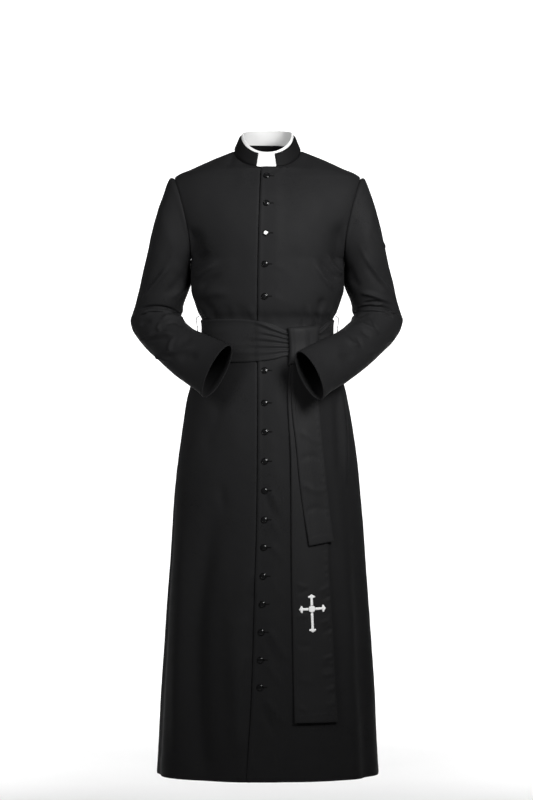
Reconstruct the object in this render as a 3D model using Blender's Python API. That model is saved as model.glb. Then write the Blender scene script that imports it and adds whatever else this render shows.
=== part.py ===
"""A cassock as it is worn, with its sash tied in front.

Metres, +Z up, the front faces -Y, the wearer's left is +X.  The origin is the
middle of the neck, level with the points where the shoulder seams meet the
collar.  Every piece of cloth is a wall of WALL thickness with its true cut
edges, so the neck, cuffs and hem are open and the garment is hollow.
"""

import math

import bmesh
import bpy
import numpy as np
from mathutils import Matrix, Vector
from mathutils.geometry import delaunay_2d_cdt

for old in list(bpy.data.objects):
    bpy.data.objects.remove(old, do_unlink=True)

# ---------------------------------------------------------------- named sizes
WALL = 0.0016            # thickness of the cloth
SEAM = 0.0003            # gap left between two pieces that are sewn together
HEM_Z = -1.362           # the hem is level all round
ARMPIT_Z = -0.235        # lowest point of the armhole
SHOULDER_Z = -0.056      # highest point of the armhole, end of the shoulder seam
NECK_SIDE_Z = 0.0044     # where the shoulder seam meets the collar
NECK_HALF_WIDTH = 0.0735
NECK_FRONT = 0.070       # depth of the neck oval in front of the shoulder line
NECK_BACK = 0.062        # and behind it
ARMHOLE_FRONT = 0.058    # how far the armhole reaches in front of its middle
ARMHOLE_BACK = 0.060
LAP_LIFT = 0.0023        # the left front lies this far over the right front
LAP_FULL_X = 0.016       # the lift is whole up to here ...
LAP_END_X = 0.040        # ... and has faded out here
UNDERLAP_X = 0.012       # the right front reaches this far under the left

BODY_ROWS = 17           # rows of faces between the hem and the armpit
CENTRE_ROWS = 7          # rows from the armpit level up to the front of the neck
NECK_ROWS = 5            # rows that start on the neckline
FRONT_COLUMNS = 8        # columns of a front beside the two of the lap
BACK_COLUMNS = 8         # columns of half the back
SLEEVE_RINGS = 15

# The body, a row for each level: half width, depth before and behind the side
# seam, and how square the section is (2 is an ellipse).
BODY = [
    # z, half_width, front, back, square
    (HEM_Z, 0.2435, 0.1925, 0.1830, 2.25),
    (-1.250, 0.2385, 0.1860, 0.1760, 2.22),
    (-1.100, 0.2300, 0.1770, 0.1660, 2.18),
    (-0.950, 0.2195, 0.1680, 0.1570, 2.14),
    (-0.800, 0.2090, 0.1560, 0.1470, 2.10),
    (-0.700, 0.2000, 0.1480, 0.1390, 2.08),
    (-0.620, 0.1895, 0.1400, 0.1320, 2.05),
    (-0.550, 0.1780, 0.1310, 0.1230, 2.02),
    (-0.500, 0.1660, 0.1230, 0.1120, 2.00),
    (-0.455, 0.1480, 0.1130, 0.0960, 2.00),
    (-0.415, 0.1425, 0.1080, 0.0890, 2.00),
    (-0.385, 0.1425, 0.1080, 0.0880, 2.00),
    (-0.366, 0.1445, 0.1100, 0.0900, 2.00),
    (-0.350, 0.1530, 0.1165, 0.0960, 2.00),
    (-0.330, 0.1600, 0.1200, 0.1000, 2.00),
    (-0.300, 0.1682, 0.1215, 0.1020, 2.00),
    (-0.270, 0.1688, 0.1235, 0.1040, 2.00),
    (ARMPIT_Z, 0.1680, 0.1245, 0.1060, 2.00),
    (-0.190, 0.1700, 0.1230, 0.1075, 2.00),
    (-0.150, 0.1700, 0.1170, 0.1060, 2.00),
    (-0.100, 0.1700, 0.1040, 0.0990, 2.00),
    (SHOULDER_Z, 0.2045, 0.0820, 0.0890, 2.00),
    (-0.0462, 0.1925, 0.0755, 0.0855, 2.00),
    (-0.0374, 0.1715, 0.0700, 0.0825, 2.00),
    (-0.0286, 0.1520, 0.0580, 0.0785, 2.00),
    (-0.0198, 0.1315, 0.0470, 0.0750, 2.00),
    (-0.0110, 0.1115, 0.0350, 0.0705, 2.00),
    (-0.0020, 0.0895, 0.0260, 0.0655, 2.00),
    (NECK_SIDE_Z, NECK_HALF_WIDTH, 0.0210, NECK_BACK, 2.00),
]

# Where the rows of faces fall between hem and armpit.
LEVELS = [
    # row, z
    (0, HEM_Z),
    (4, -0.920),
    (8, -0.590),
    (11, -0.418),
    (12, -0.378),
    (13, -0.359),
    (14, -0.341),
    (15, -0.315),
    (16, -0.275),
    (17, ARMPIT_Z),
]

# Sideways place of the armhole seam.
ARMHOLE = [
    # z, x
    (ARMPIT_Z, 0.1680),
    (-0.200, 0.1700),
    (-0.1755, 0.1735),
    (-0.130, 0.1830),
    (-0.090, 0.1935),
    (SHOULDER_Z, 0.2045),
]

# Front edge of the left front, which swings towards the right at the hem.
LAP_EDGE = [
    # z, x
    (HEM_Z, -0.0445),
    (-1.170, -0.0333),
    (-0.970, -0.0276),
    (-0.800, -0.0223),
    (-0.560, -0.0206),
    (-0.330, -0.0206),
    (-0.176, -0.0184),
    (-0.037, -0.0135),
]

# One arm, a row for each ring: the ring's outer and inner point seen from the
# front, its middle's y and its half depth.  The arm hangs, bends at the elbow
# and comes forward across the waist.
SLEEVE = [
    # outer_x, outer_z, inner_x, inner_z, middle_y, half_depth
    (0.2050, -0.0560, 0.1685, -0.2350, 0.000, 0.0590),
    (0.2125, -0.0556, 0.1695, -0.2400, 0.001, 0.0600),
    (0.2190, -0.0655, 0.1702, -0.2460, 0.002, 0.0612),
    (0.2265, -0.0880, 0.1706, -0.2530, 0.004, 0.0625),
    (0.2385, -0.1210, 0.1710, -0.2620, 0.007, 0.0635),
    (0.2530, -0.1730, 0.1714, -0.2740, 0.012, 0.0635),
    (0.2640, -0.2170, 0.1724, -0.2860, 0.018, 0.0630),
    (0.2750, -0.2630, 0.1768, -0.3000, 0.024, 0.0620),
    (0.2850, -0.3030, 0.1815, -0.3180, 0.030, 0.0610),
    (0.2925, -0.3340, 0.1865, -0.3360, 0.035, 0.0600),
    (0.3000, -0.3560, 0.1890, -0.3490, 0.037, 0.0590),
    (0.3035, -0.3690, 0.1893, -0.3565, 0.035, 0.0580),
    (0.3000, -0.3844, 0.1885, -0.3605, 0.030, 0.0570),
    (0.2890, -0.4024, 0.1870, -0.3640, 0.021, 0.0560),
    (0.2750, -0.4203, 0.1848, -0.3675, 0.009, 0.0545),
    (0.2585, -0.4383, 0.1815, -0.3715, -0.006, 0.0520),
    (0.2385, -0.4565, 0.1750, -0.3775, -0.024, 0.0490),
    (0.2200, -0.4737, 0.1600, -0.3895, -0.050, 0.0440),
    (0.1998, -0.4913, 0.1390, -0.3990, -0.080, 0.0390),
    (0.1753, -0.5088, 0.1180, -0.4080, -0.114, 0.0340),
    (0.1560, -0.5225, 0.0990, -0.4165, -0.145, 0.0300),
    (0.1425, -0.5348, 0.0857, -0.4225, -0.170, 0.0270),
]

# The left arm is held a little higher and closer than the right: what its
# rings' outer and inner points are moved by, along the sleeve.
LEFT_ARM = [
    # share, outer_x, inner_x, inner_z, middle_y
    (0.00, 0.0000, 0.0000, 0.0000, 0.000),
    (0.15, -0.0030, 0.0000, 0.0000, 0.000),
    (0.55, -0.0040, 0.0000, 0.0000, 0.000),
    (0.70, -0.0065, -0.0005, -0.0010, -0.004),
    (0.85, -0.0090, -0.0020, -0.0040, -0.018),
    (1.00, -0.0110, -0.0050, -0.0090, -0.018),
]

# Towards the cuff the table's line runs nearer the front of each ring: by what
# share of its half depth, and that half depth's share of the table's.
CUFF_FROM = 0.70
LEFT_CUFF = (0.93, 0.88)
RIGHT_CUFF = (0.38, 0.80)

# The widest folds of the skirt, each a soft ridge or, where its height is
# negative, a trough.  It runs from top to bottom along the given turns about
# the body (0 is the front, 90 the wearer's left side, 180 the back).
SKIRT_FOLDS = [
    # top_z, top_turn, middle_z, middle_turn, bottom_turn, half_width, height
    (-0.600, -17.0, -1.020, -41.0, -33.0, 8.0, -0.0070),
    (-0.700, -8.0, -1.080, -14.5, -13.0, 6.0, 0.0035),
    (-0.560, -58.0, -0.950, -60.0, -58.0, 9.0, 0.0045),
    (-0.620, -80.0, -1.000, -79.0, -77.0, 7.0, -0.0050),
    (-0.640, 14.0, -1.000, 10.0, 9.0, 6.0, -0.0035),
    (-0.560, 47.0, -0.950, 48.0, 49.0, 6.0, 0.0050),
    (-0.600, 62.0, -1.000, 60.0, 60.0, 7.0, -0.0060),
    (-0.620, 79.0, -1.000, 78.0, 76.0, 8.0, 0.0015),
    (-0.560, 100.0, -0.980, 101.0, 102.0, 8.0, -0.0060),
    (-0.580, 119.0, -1.000, 120.0, 121.0, 8.0, 0.0070),
    (-0.560, 140.0, -1.000, 140.0, 139.0, 8.0, -0.0080),
    (-0.540, 161.0, -0.950, 160.0, 160.0, 9.0, 0.0075),
    (-0.560, 180.0, -1.000, 180.0, 180.0, 8.0, -0.0080),
    (-0.580, 199.0, -0.960, 200.0, 201.0, 9.0, 0.0070),
    (-0.560, 221.0, -1.000, 220.0, 220.0, 8.0, -0.0075),
    (-0.600, 241.0, -1.000, 240.0, 239.0, 8.0, 0.0065),
    (-0.560, 260.0, -0.980, 259.0, 258.0, 8.0, -0.0050),
]

# The sash round the waist: its top and bottom edge at turns about the body.
SASH = [
    # turn, top_z, bottom_z
    (-180.0, -0.3670, -0.4620),
    (-90.0, -0.3670, -0.4630),
    (-30.0, -0.3675, -0.4620),
    (-8.0, -0.3720, -0.4600),
    (4.0, -0.3790, -0.4560),
    (17.0, -0.3930, -0.4480),
    (34.0, -0.3970, -0.4450),
    (50.0, -0.3900, -0.4520),
    (66.0, -0.3720, -0.4610),
    (90.0, -0.3670, -0.4630),
    (180.0, -0.3670, -0.4620),
]
SASH_CLOTH = 0.0018
SASH_GAP = 0.0006

# The hanging sash ends: both side edges at levels, and the height over the
# skirt.
LONG_END = [
    # z, left_x, right_x, height
    (-0.452, 0.0490, 0.0990, 0.0040),
    (-0.480, 0.0465, 0.1040, 0.0038),
    (-0.536, 0.0432, 0.1080, 0.0030),
    (-0.677, 0.0500, 0.1150, 0.0026),
    (-0.865, 0.0515, 0.1290, 0.0026),
    (-0.940, 0.0522, 0.1325, 0.0026),
    (-1.029, 0.0540, 0.1378, 0.0026),
    (-1.130, 0.0555, 0.1430, 0.0026),
    (-1.236, 0.0575, 0.1481, 0.0026),
]
SHORT_END = [
    # z, left_x, right_x, height
    (-0.452, 0.0540, 0.0960, 0.0068),
    (-0.480, 0.0505, 0.1025, 0.0068),
    (-0.536, 0.0500, 0.1064, 0.0062),
    (-0.640, 0.0600, 0.1160, 0.0058),
    (-0.740, 0.0700, 0.1260, 0.0056),
    (-0.858, 0.0868, 0.1373, 0.0056),
]
SHORT_END_SLANT = 0.009   # its lower edge rises this much towards the left side

# Buttons: height and sideways place of each, top to bottom.  The one that the
# sash covers isn't built.
BUTTONS = [
    # z, x
    (-0.0573, -0.0022),
    (-0.1174, -0.0029),
    (-0.1823, -0.0039),
    (-0.2494, -0.0057),
    (-0.3191, -0.0065),
    (-0.4800, -0.0065),
    (-0.5499, -0.0063),
    (-0.6123, -0.0056),
    (-0.6754, -0.0060),
    (-0.7389, -0.0068),
    (-0.8013, -0.0072),
    (-0.8605, -0.0082),
    (-0.9220, -0.0096),
    (-0.9820, -0.0112),
    (-1.0416, -0.0134),
    (-1.1010, -0.0152),
    (-1.1596, -0.0164),
]
BUTTON_RADIUS = 0.0070
PALE_BUTTON = 3


# ------------------------------------------------------------------- helpers
def curve_through(rows, column):
    """A smooth function of the first column that never overshoots its rows."""
    rows = sorted(rows, key=lambda row: row[0])
    x = np.array([row[0] for row in rows], float)
    y = np.array([row[column] for row in rows], float)
    h = np.diff(x)
    d = np.diff(y) / h
    m = np.zeros_like(y)
    m[0], m[-1] = d[0], d[-1]
    for i in range(1, len(x) - 1):
        if d[i - 1] * d[i] > 0:
            w1, w2 = 2 * h[i] + h[i - 1], h[i] + 2 * h[i - 1]
            m[i] = (w1 + w2) / (w1 / d[i - 1] + w2 / d[i])

    def value(at):
        at = np.clip(np.asarray(at, float), x[0], x[-1])
        i = np.clip(np.searchsorted(x, at, side="right") - 1, 0, len(x) - 2)
        t = (at - x[i]) / h[i]
        return (
            (1 + 2 * t) * (1 - t) ** 2 * y[i]
            + t * (1 - t) ** 2 * h[i] * m[i]
            + t * t * (3 - 2 * t) * y[i + 1]
            + t * t * (t - 1) * h[i] * m[i + 1]
        )

    return value


def smooth_step(low, high, value):
    t = np.clip((np.asarray(value, float) - low) / (high - low), 0, 1)
    return t * t * (3 - 2 * t)


def unit(vectors):
    return vectors / np.maximum(np.linalg.norm(vectors, axis=-1, keepdims=True), 1e-12)


half_width_at = curve_through(BODY, 1)
front_at = curve_through(BODY, 2)
back_at = curve_through(BODY, 3)
square_at = curve_through(BODY, 4)
armhole_x_at = curve_through(ARMHOLE, 1)
lap_edge_at = curve_through(LAP_EDGE, 1)

ARMHOLE_MIDDLE = (SHOULDER_Z + ARMPIT_Z) / 2
ARMHOLE_HALF = (SHOULDER_Z - ARMPIT_Z) / 2


# ------------------------------------------------------------- the body form
def section(turn, z):
    """Half width, depth and squareness of the body's section at a level.

    Beside an armhole the half width is the one whose oval passes through the
    armhole seam, so the seam lies on the form.
    """
    behind = np.abs(turn) > math.pi / 2
    depth = np.where(behind, back_at(z), front_at(z))
    reach = np.where(behind, ARMHOLE_BACK, ARMHOLE_FRONT)
    across = np.clip(1 - ((z - ARMHOLE_MIDDLE) / ARMHOLE_HALF) ** 2, 0, 1)
    beside = armhole_x_at(z) / np.sqrt(1 - reach**2 * across / depth**2)
    half = np.where(
        (z > ARMPIT_Z) & (z < SHOULDER_Z), beside, half_width_at(z)
    )
    return half, depth, square_at(z)


def plain_body(turn, z):
    half, depth, n = section(turn, z)
    s, c = np.sin(turn), np.cos(turn)
    r = (np.abs(s) ** n + np.abs(c) ** n) ** (-1 / n)
    return np.stack([half * r * s, -depth * r * c, z + 0 * turn], axis=-1)


def fold_height(turn, z):
    """How far the skirt's folds stand out from the plain form."""
    degrees = np.degrees(turn)
    total = np.zeros(np.broadcast(turn, z).shape)
    for top, turn_top, middle, turn_middle, turn_bottom, width, height in SKIRT_FOLDS:
        path = curve_through(
            [(HEM_Z, turn_bottom), (middle, turn_middle), (top, turn_top)], 1
        )
        off = (degrees - path(z) + 180) % 360 - 180
        total += (
            height
            * np.exp(-((off / width) ** 2))
            * smooth_step(top + 0.02, middle, z)
        )
    return total


def body(turn, z, out=0.0):
    """A point of the body's outer face, moved out by `out`."""
    turn, z = np.broadcast_arrays(
        np.asarray(turn, float), np.asarray(z, float)
    )
    point = plain_body(turn, z)
    normal = body_normal(turn, z)
    return point + normal * (fold_height(turn, z) + out)[..., None]


def body_normal(turn, z):
    e = 2e-4
    # One-sided steps keep each side of a seam on its own piece.
    inward = np.where(np.abs(turn) > math.pi / 2, 1, -1) * np.sign(turn + 1e-9)
    along = (plain_body(turn + e * inward, z) - plain_body(turn, z)) * inward[
        ..., None
    ]
    up = plain_body(turn, z + e) - plain_body(turn, z - e)
    return unit(np.cross(along, up))


def turn_of_x(x, z):
    """The turn at which the front of the plain form has this x."""
    half, _, n = section(np.zeros_like(np.asarray(z, float)), z)
    q = np.clip(np.abs(x) / half, 0, 0.9999)
    return np.sign(x) * np.arctan2(q, (1 - q**n) ** (1 / n))


def lap_lift(x):
    return LAP_LIFT * (1 - smooth_step(LAP_FULL_X, LAP_END_X, x))


def front_neck(angle):
    """(turn, z) where the front meets the neck oval, by angle about the neck."""
    x, y = NECK_HALF_WIDTH * math.sin(angle), NECK_FRONT * math.cos(angle)
    low, high = -0.07, NECK_SIDE_Z
    for _ in range(50):
        z = (low + high) / 2
        half, depth = float(half_width_at(z)), float(front_at(z))
        reach = depth * math.sqrt(max(0.0, 1 - (x / half) ** 2))
        low, high = (z, high) if reach > y else (low, z)
    half, depth = float(half_width_at(z)), float(front_at(z))
    return math.atan2(x / half, max(y / depth, 1e-6)), z


# --------------------------------------------------------------- mesh making
def make_object(name, points, faces, smooth=True):
    mesh = bpy.data.meshes.new(name)
    mesh.from_pydata([tuple(p) for p in points], [], faces)
    edit = bmesh.new()
    edit.from_mesh(mesh)
    bmesh.ops.recalc_face_normals(edit, faces=edit.faces)
    if edit.calc_volume(signed=True) < 0:
        bmesh.ops.reverse_faces(edit, faces=edit.faces)
    edit.to_mesh(mesh)
    edit.free()
    if smooth:
        mesh.shade_smooth()
        mesh.set_sharp_from_angle(angle=math.radians(40))
    thing = bpy.data.objects.new(name, mesh)
    bpy.context.scene.collection.objects.link(thing)
    return thing


def cloth(name, outer, inner, faces):
    """A closed wall from a sheet of faces, its outer points and inner points."""
    count = len(outer)
    walls = [list(f) for f in faces]
    walls += [[v + count for v in reversed(f)] for f in faces]
    uses = {}
    for face in faces:
        for a, b in zip(face, list(face[1:]) + [face[0]]):
            uses.setdefault((min(a, b), max(a, b)), []).append((a, b))
    for found in uses.values():
        if len(found) == 1:
            a, b = found[0]
            walls.append([b, a, a + count, b + count])
    return make_object(name, list(outer) + list(inner), walls)


def grid_faces(rows, columns, wrap=False):
    width = columns if wrap else columns + 1
    faces = []
    for i in range(rows):
        for j in range(columns):
            k = (j + 1) % width
            faces.append(
                [i * width + j, i * width + k, (i + 1) * width + k, (i + 1) * width + j]
            )
    return faces


def grid_cloth(name, outer, inner, wrap=False):
    rows, columns = outer.shape[0] - 1, outer.shape[1] - (0 if wrap else 1)
    return cloth(
        name,
        outer.reshape(-1, 3),
        inner.reshape(-1, 3),
        grid_faces(rows, columns, wrap),
    )


def material(name, colour, roughness, metallic=0.0):
    made = bpy.data.materials.new(name)
    made.use_nodes = True
    shader = made.node_tree.nodes["Principled BSDF"]
    shader.inputs["Base Color"].default_value = (*colour, 1.0)
    shader.inputs["Roughness"].default_value = roughness
    shader.inputs["Metallic"].default_value = metallic
    return made


def paint(thing, colour, roughness, metallic=0.0):
    thing.data.materials.append(
        material(thing.name + "_finish", colour, roughness, metallic)
    )
    return thing


BLACK_CLOTH = (0.012, 0.012, 0.013)
WHITE_CLOTH = (0.80, 0.80, 0.79)
BLACK_GLOSS = (0.006, 0.006, 0.007)


# -------------------------------------------------------------------- panels
def body_levels():
    """Levels from hem to armpit: even on the skirt, closer round the sash."""
    spaced = curve_through(LEVELS, 1)
    return [float(spaced(i)) for i in range(BODY_ROWS)]


def armhole_point(k, rows, behind):
    """(turn, z) of the armhole seam, k of rows from the armpit up."""
    angle = math.pi * (1 - k / rows)
    z = ARMHOLE_MIDDLE + ARMHOLE_HALF * math.cos(angle)
    reach = (ARMHOLE_BACK if behind else ARMHOLE_FRONT) * math.sin(angle)
    depth = float(back_at(z) if behind else front_at(z))
    x = float(armhole_x_at(z))
    half = x / math.sqrt(1 - (reach / depth) ** 2)
    turn = math.atan2(x / half, max(reach, SEAM / 2) / depth)
    return (math.pi - turn if behind else turn), z


def half_rows(behind, edge_x=None):
    """Rows of one half of the front or back, each ((turn, z), (turn, z)) from
    the centre edge or neckline to the side seam, armhole or shoulder seam."""
    rows = []
    for z in body_levels():
        depth = float(back_at(z) if behind else front_at(z))
        side = math.pi / 2 - SEAM / 2 / depth
        if behind:
            rows.append(((math.pi, z), (math.pi - side, z)))
        else:
            rows.append(((float(turn_of_x(edge_x(z), z)), z), (side, z)))
    total = CENTRE_ROWS + NECK_ROWS
    if behind:
        corner = (math.pi, NECK_SIDE_Z)
        first = 0.0
    else:
        # Angle about the neck at which the front edge meets the neckline.
        first = math.asin(edge_x(-0.037) / NECK_HALF_WIDTH)
        corner = front_neck(first)
    for k in range(total + 1):
        if k <= CENTRE_ROWS:
            z = ARMPIT_Z + (corner[1] - ARMPIT_Z) * k / CENTRE_ROWS
            if behind:
                inner = (math.pi, z)
            elif k == CENTRE_ROWS:
                inner = corner
            else:
                inner = (float(turn_of_x(edge_x(z), z)), z)
        else:
            t = (k - CENTRE_ROWS) / NECK_ROWS
            if behind:
                turn = math.pi * (1 - t / 2)
                inner = (max(turn, math.pi / 2 + SEAM / 2 / NECK_BACK), NECK_SIDE_Z)
            else:
                turn, z = front_neck(first + (math.pi / 2 - first) * t)
                inner = (turn, z)
        rows.append((inner, armhole_point(k, total, behind)))
    # The last row is the shoulder seam: keep it half a gap from its ridge.
    last = []
    for turn, z in rows[-1]:
        depth = float(back_at(z) if behind else front_at(z))
        side = math.pi / 2 - SEAM / 2 / depth
        last.append((math.pi - side if behind else side, z))
    rows[-1] = tuple(last)
    return rows


def row_points(rows, shares, level=0):
    """turn and z of every grid point: linear along each row, except that the
    first points, up to number `level`, stay level where the fronts lap."""
    turn = np.zeros((len(rows), len(shares[0])))
    z = np.zeros_like(turn)
    for i, ((t0, z0), (t1, z1)) in enumerate(rows):
        turn[i] = t0 + (t1 - t0) * shares[i]
        from_level = (shares[i] - shares[i][level]) / (1 - shares[i][level])
        z[i] = z0 + (z1 - z0) * np.maximum(from_level, 0)
    return turn, z


def front(name, side):
    """side 1 is the left front, which laps over; -1 the right, which goes under."""
    if side > 0:
        edge_x = lambda z: float(lap_edge_at(z))
    else:
        edge_x = lambda z: -UNDERLAP_X
    rows = half_rows(False, edge_x)
    shares = []
    for (t0, z0), (t1, _) in rows:
        if z0 < -0.038:
            lap = [
                (float(turn_of_x(x, z0)) - t0) / (t1 - t0)
                for x in (LAP_FULL_X, LAP_END_X)
            ]
        shares.append(
            np.concatenate([[0.0, lap[0]], np.linspace(lap[1], 1, FRONT_COLUMNS)])
        )
    turn, z = row_points(rows, shares, 2)
    lift = lap_lift(plain_body(turn, z)[..., 0]) if side > 0 else 0 * turn
    # Mirroring about x = 0 turns the same rows into the right front.
    outer = body(turn * side, z, lift)
    inner = body(turn * side, z, lift - WALL)
    return paint(grid_cloth(name, outer, inner), BLACK_CLOTH, 0.85)


def back_panel():
    rows = half_rows(True)
    shares = [np.linspace(0, 1, BACK_COLUMNS + 1)] * len(rows)
    turn, z = row_points(rows, shares)
    points, inside, faces, place = [], [], [], {}
    for side in (1, -1):
        outer, inner = body(turn * side, z), body(turn * side, z, -WALL)
        if side < 0:
            # The centre back is shared, from the hem to the neckline.
            for grid in (outer, inner):
                grid[: BODY_ROWS + CENTRE_ROWS + 1, 0, 0] = 0.0
        else:
            for grid in (outer, inner):
                grid[: BODY_ROWS + CENTRE_ROWS + 1, 0, 0] = 0.0
        index = np.zeros(turn.shape, int)
        for i in range(turn.shape[0]):
            for j in range(turn.shape[1]):
                key = (i, j, 0 if j == 0 and i <= BODY_ROWS + CENTRE_ROWS else side)
                if key not in place:
                    place[key] = len(points)
                    points.append(outer[i, j])
                    inside.append(inner[i, j])
                index[i, j] = place[key]
        for i in range(turn.shape[0] - 1):
            for j in range(turn.shape[1] - 1):
                quad = [index[i, j], index[i, j + 1], index[i + 1, j + 1], index[i + 1, j]]
                faces.append([int(v) for v in (quad if side < 0 else quad[::-1])])
    return paint(cloth("back", points, inside, faces), BLACK_CLOTH, 0.85)


# ------------------------------------------------------------------- sleeves
def sleeve_columns():
    return 2 * (CENTRE_ROWS + NECK_ROWS)


left_outer_x, left_inner_x, left_inner_z, left_middle_y = [
    curve_through(LEFT_ARM, c) for c in (1, 2, 3, 4)
]


def sleeve_surface(share, angle, side):
    """Point of the sleeve: share 0 at the armhole, 1 at the cuff; angle 0 is
    the top, a quarter turn the front, half a turn the armpit side."""
    steps = np.array([row[:5] for row in SLEEVE], float)
    middle = np.stack(
        [(steps[:, 0] + steps[:, 2]) / 2, steps[:, 4], (steps[:, 1] + steps[:, 3]) / 2],
        axis=1,
    )
    # Rings are spaced by the mean of the way along the outer and inner sides.
    outer = np.stack([steps[:, 0], steps[:, 4], steps[:, 1]], axis=1)
    gone = np.concatenate(
        [
            [0],
            np.cumsum(
                np.linalg.norm(np.diff(middle, axis=0), axis=1)
                + np.linalg.norm(np.diff(outer, axis=0), axis=1)
            ),
        ]
    )
    gone /= gone[-1]
    table = [(gone[i], *SLEEVE[i]) for i in range(len(SLEEVE))]
    columns = [curve_through(table, c + 1) for c in range(6)]

    def ring(s):
        ox, oz, ix, iz, my, depth = [c(s) for c in columns]
        if side > 0:
            ox, ix, iz = ox + left_outer_x(s), ix + left_inner_x(s), iz + left_inner_z(s)
            my = my + left_middle_y(s)
        centre = np.stack([(ox + ix) / 2, my, (oz + iz) / 2], axis=-1)
        reach = np.stack([(ox - ix) / 2, 0 * my, (oz - iz) / 2], axis=-1)
        return centre, reach, depth

    centre, reach, depth = ring(share)
    behind, narrow = LEFT_CUFF if side > 0 else RIGHT_CUFF
    cuffed = smooth_step(CUFF_FROM, 1.0, share)
    depth = depth * (1 - (1 - narrow) * cuffed)
    e = 0.01
    way = unit(ring(np.clip(share + e, 0, 1))[0] - ring(np.clip(share - e, 0, 1))[0])
    across = unit(np.cross(way, unit(reach)))
    # Close to the armhole the ring is the armhole's own oval.
    near = 1 - smooth_step(0.0, 0.10, share)
    straight = np.array([0.0, -1.0, 0.0])
    across = np.where(
        (np.sum(across * straight, axis=-1) < 0)[..., None], -across, across
    )
    across = unit(across * (1 - near)[..., None] + straight * near[..., None])
    front_reach = ARMHOLE_FRONT * near + depth * (1 - near)
    back_reach = ARMHOLE_BACK * near + depth * (1 - near)
    wide = np.where(np.sin(angle) > 0, front_reach, back_reach)
    set_in = across * (wide * behind * cuffed)[..., None] * np.array([1.0, 0.0, 1.0])
    point = (
        centre
        - set_in
        + reach * np.cos(angle)[..., None]
        + across * (wide * np.sin(angle))[..., None]
    )
    # The armhole seam bows inwards between its top and bottom.
    z = ARMHOLE_MIDDLE + ARMHOLE_HALF * np.cos(angle)
    line = 0.168 + (0.2045 - 0.168) * (np.cos(angle) + 1) / 2
    point[..., 0] += (armhole_x_at(z) - line) * near
    point[..., 0] *= side
    return point


def sleeve(name, side):
    columns = sleeve_columns()
    share = curve_through(
        [(0, 0), (0.10, 0.045), (0.25, 0.20), (0.467, 0.50), (0.75, 0.735), (1, 1)], 1
    )(np.linspace(0, 1, SLEEVE_RINGS + 1))
    angle = np.arange(columns) * 2 * math.pi / columns
    s, a = np.meshgrid(share, angle, indexing="ij")
    outer = sleeve_surface(s, a, side)
    inner = outer - sleeve_normal(s, a, side) * WALL
    return paint(grid_cloth(name, outer, inner, wrap=True), BLACK_CLOTH, 0.85)


def sleeve_normal(s, a, side):
    e = 2e-3
    along = sleeve_surface(np.clip(s + e, 0, 1), a, side) - sleeve_surface(
        np.clip(s - e, 0, 1), a, side
    )
    round_ = sleeve_surface(s, a + e, side) - sleeve_surface(s, a - e, side)
    normal = unit(np.cross(round_, along))
    out = sleeve_surface(s, a, side) - sleeve_surface(s, a + math.pi, side)
    return np.where((np.sum(normal * out, axis=-1) < 0)[..., None], -normal, normal)


# -------------------------------------------------------------------- collar
COLLAR_CLOTH = 0.0020
COLLAR_GAP = 0.0010       # above the neckline
COLLAR_LEFT_END = 0.0200  # x of the collar's end on the wearer's left
COLLAR_RIGHT_END = -0.0250
COLLAR_TOP_HALF = 0.0596  # half width of the top edge
COLLAR_TOP_MIDDLE = -0.0085
COLLAR_TOP_DEPTH = 0.0535
COLLAR_TOP_FRONT_Z = -0.0070
COLLAR_TOP_SIDE_Z = 0.0374
COLLAR_TOP_BACK_Z = 0.0450
BAND_SHOWS = 0.0060       # the white band stands this far above the collar
BAND_CLOTH = 0.0014


def neck_z(angle):
    """Height of the neckline at an angle about the neck, 0 in front."""
    angle = abs((angle + math.pi) % (2 * math.pi) - math.pi)
    if angle >= math.pi / 2:
        return NECK_SIDE_Z
    return front_neck(angle)[1]


def collar_point(angle, share, inset=0.0):
    """share 0 on the neckline, 1 on the collar's top edge."""
    s, c = math.sin(angle), math.cos(angle)
    base = np.array(
        [
            NECK_HALF_WIDTH * s,
            -(NECK_FRONT if c > 0 else NECK_BACK) * c,
            neck_z(angle) + COLLAR_GAP,
        ]
    )
    base[2] += LAP_LIFT * 0.9 * (1 - float(smooth_step(LAP_FULL_X, LAP_END_X, base[0])))
    top_z = COLLAR_TOP_SIDE_Z + (
        (COLLAR_TOP_FRONT_Z if c > 0 else COLLAR_TOP_BACK_Z) - COLLAR_TOP_SIDE_Z
    ) * abs(c)
    top = np.array(
        [
            COLLAR_TOP_HALF * s,
            COLLAR_TOP_MIDDLE - COLLAR_TOP_DEPTH * c,
            top_z,
        ]
    )
    point = base + (top - base) * share
    away = np.array([s / NECK_HALF_WIDTH, -c / NECK_FRONT, 0.0])
    return point - inset * away / np.linalg.norm(away)


def collar():
    start = math.asin(COLLAR_LEFT_END / NECK_HALF_WIDTH)
    stop = 2 * math.pi + math.asin(COLLAR_RIGHT_END / NECK_HALF_WIDTH)
    angles = np.linspace(start, stop, 37)
    shares = (0.0, 0.5, 1.0)
    grid = lambda inset: np.array(
        [[collar_point(a, s, inset) for a in angles] for s in shares]
    )
    return paint(
        grid_cloth("collar", grid(0.0), grid(COLLAR_CLOTH)), BLACK_CLOTH, 0.85
    )


def collar_insert():
    """The white band inside the collar: round the neck, with a tab that fills
    the gap between the collar's ends."""
    angles = np.linspace(0, 2 * math.pi, 40, endpoint=False)
    inset = COLLAR_CLOTH + 0.0010
    tall = 1 + BAND_SHOWS / 0.034

    def grid(depth):
        rows = []
        for k, share in enumerate((0.30, 0.70, tall)):
            row = []
            for a in angles:
                x = NECK_HALF_WIDTH * math.sin(a)
                tab = COLLAR_RIGHT_END < x < COLLAR_LEFT_END and math.cos(a) > 0
                low = 0.05 if tab and k == 0 else share
                row.append(collar_point(a, low, depth))
            rows.append(row)
        return np.array(rows)

    return paint(
        grid_cloth("collar_insert", grid(inset), grid(inset + BAND_CLOTH), wrap=True),
        WHITE_CLOTH,
        0.7,
    )


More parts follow.
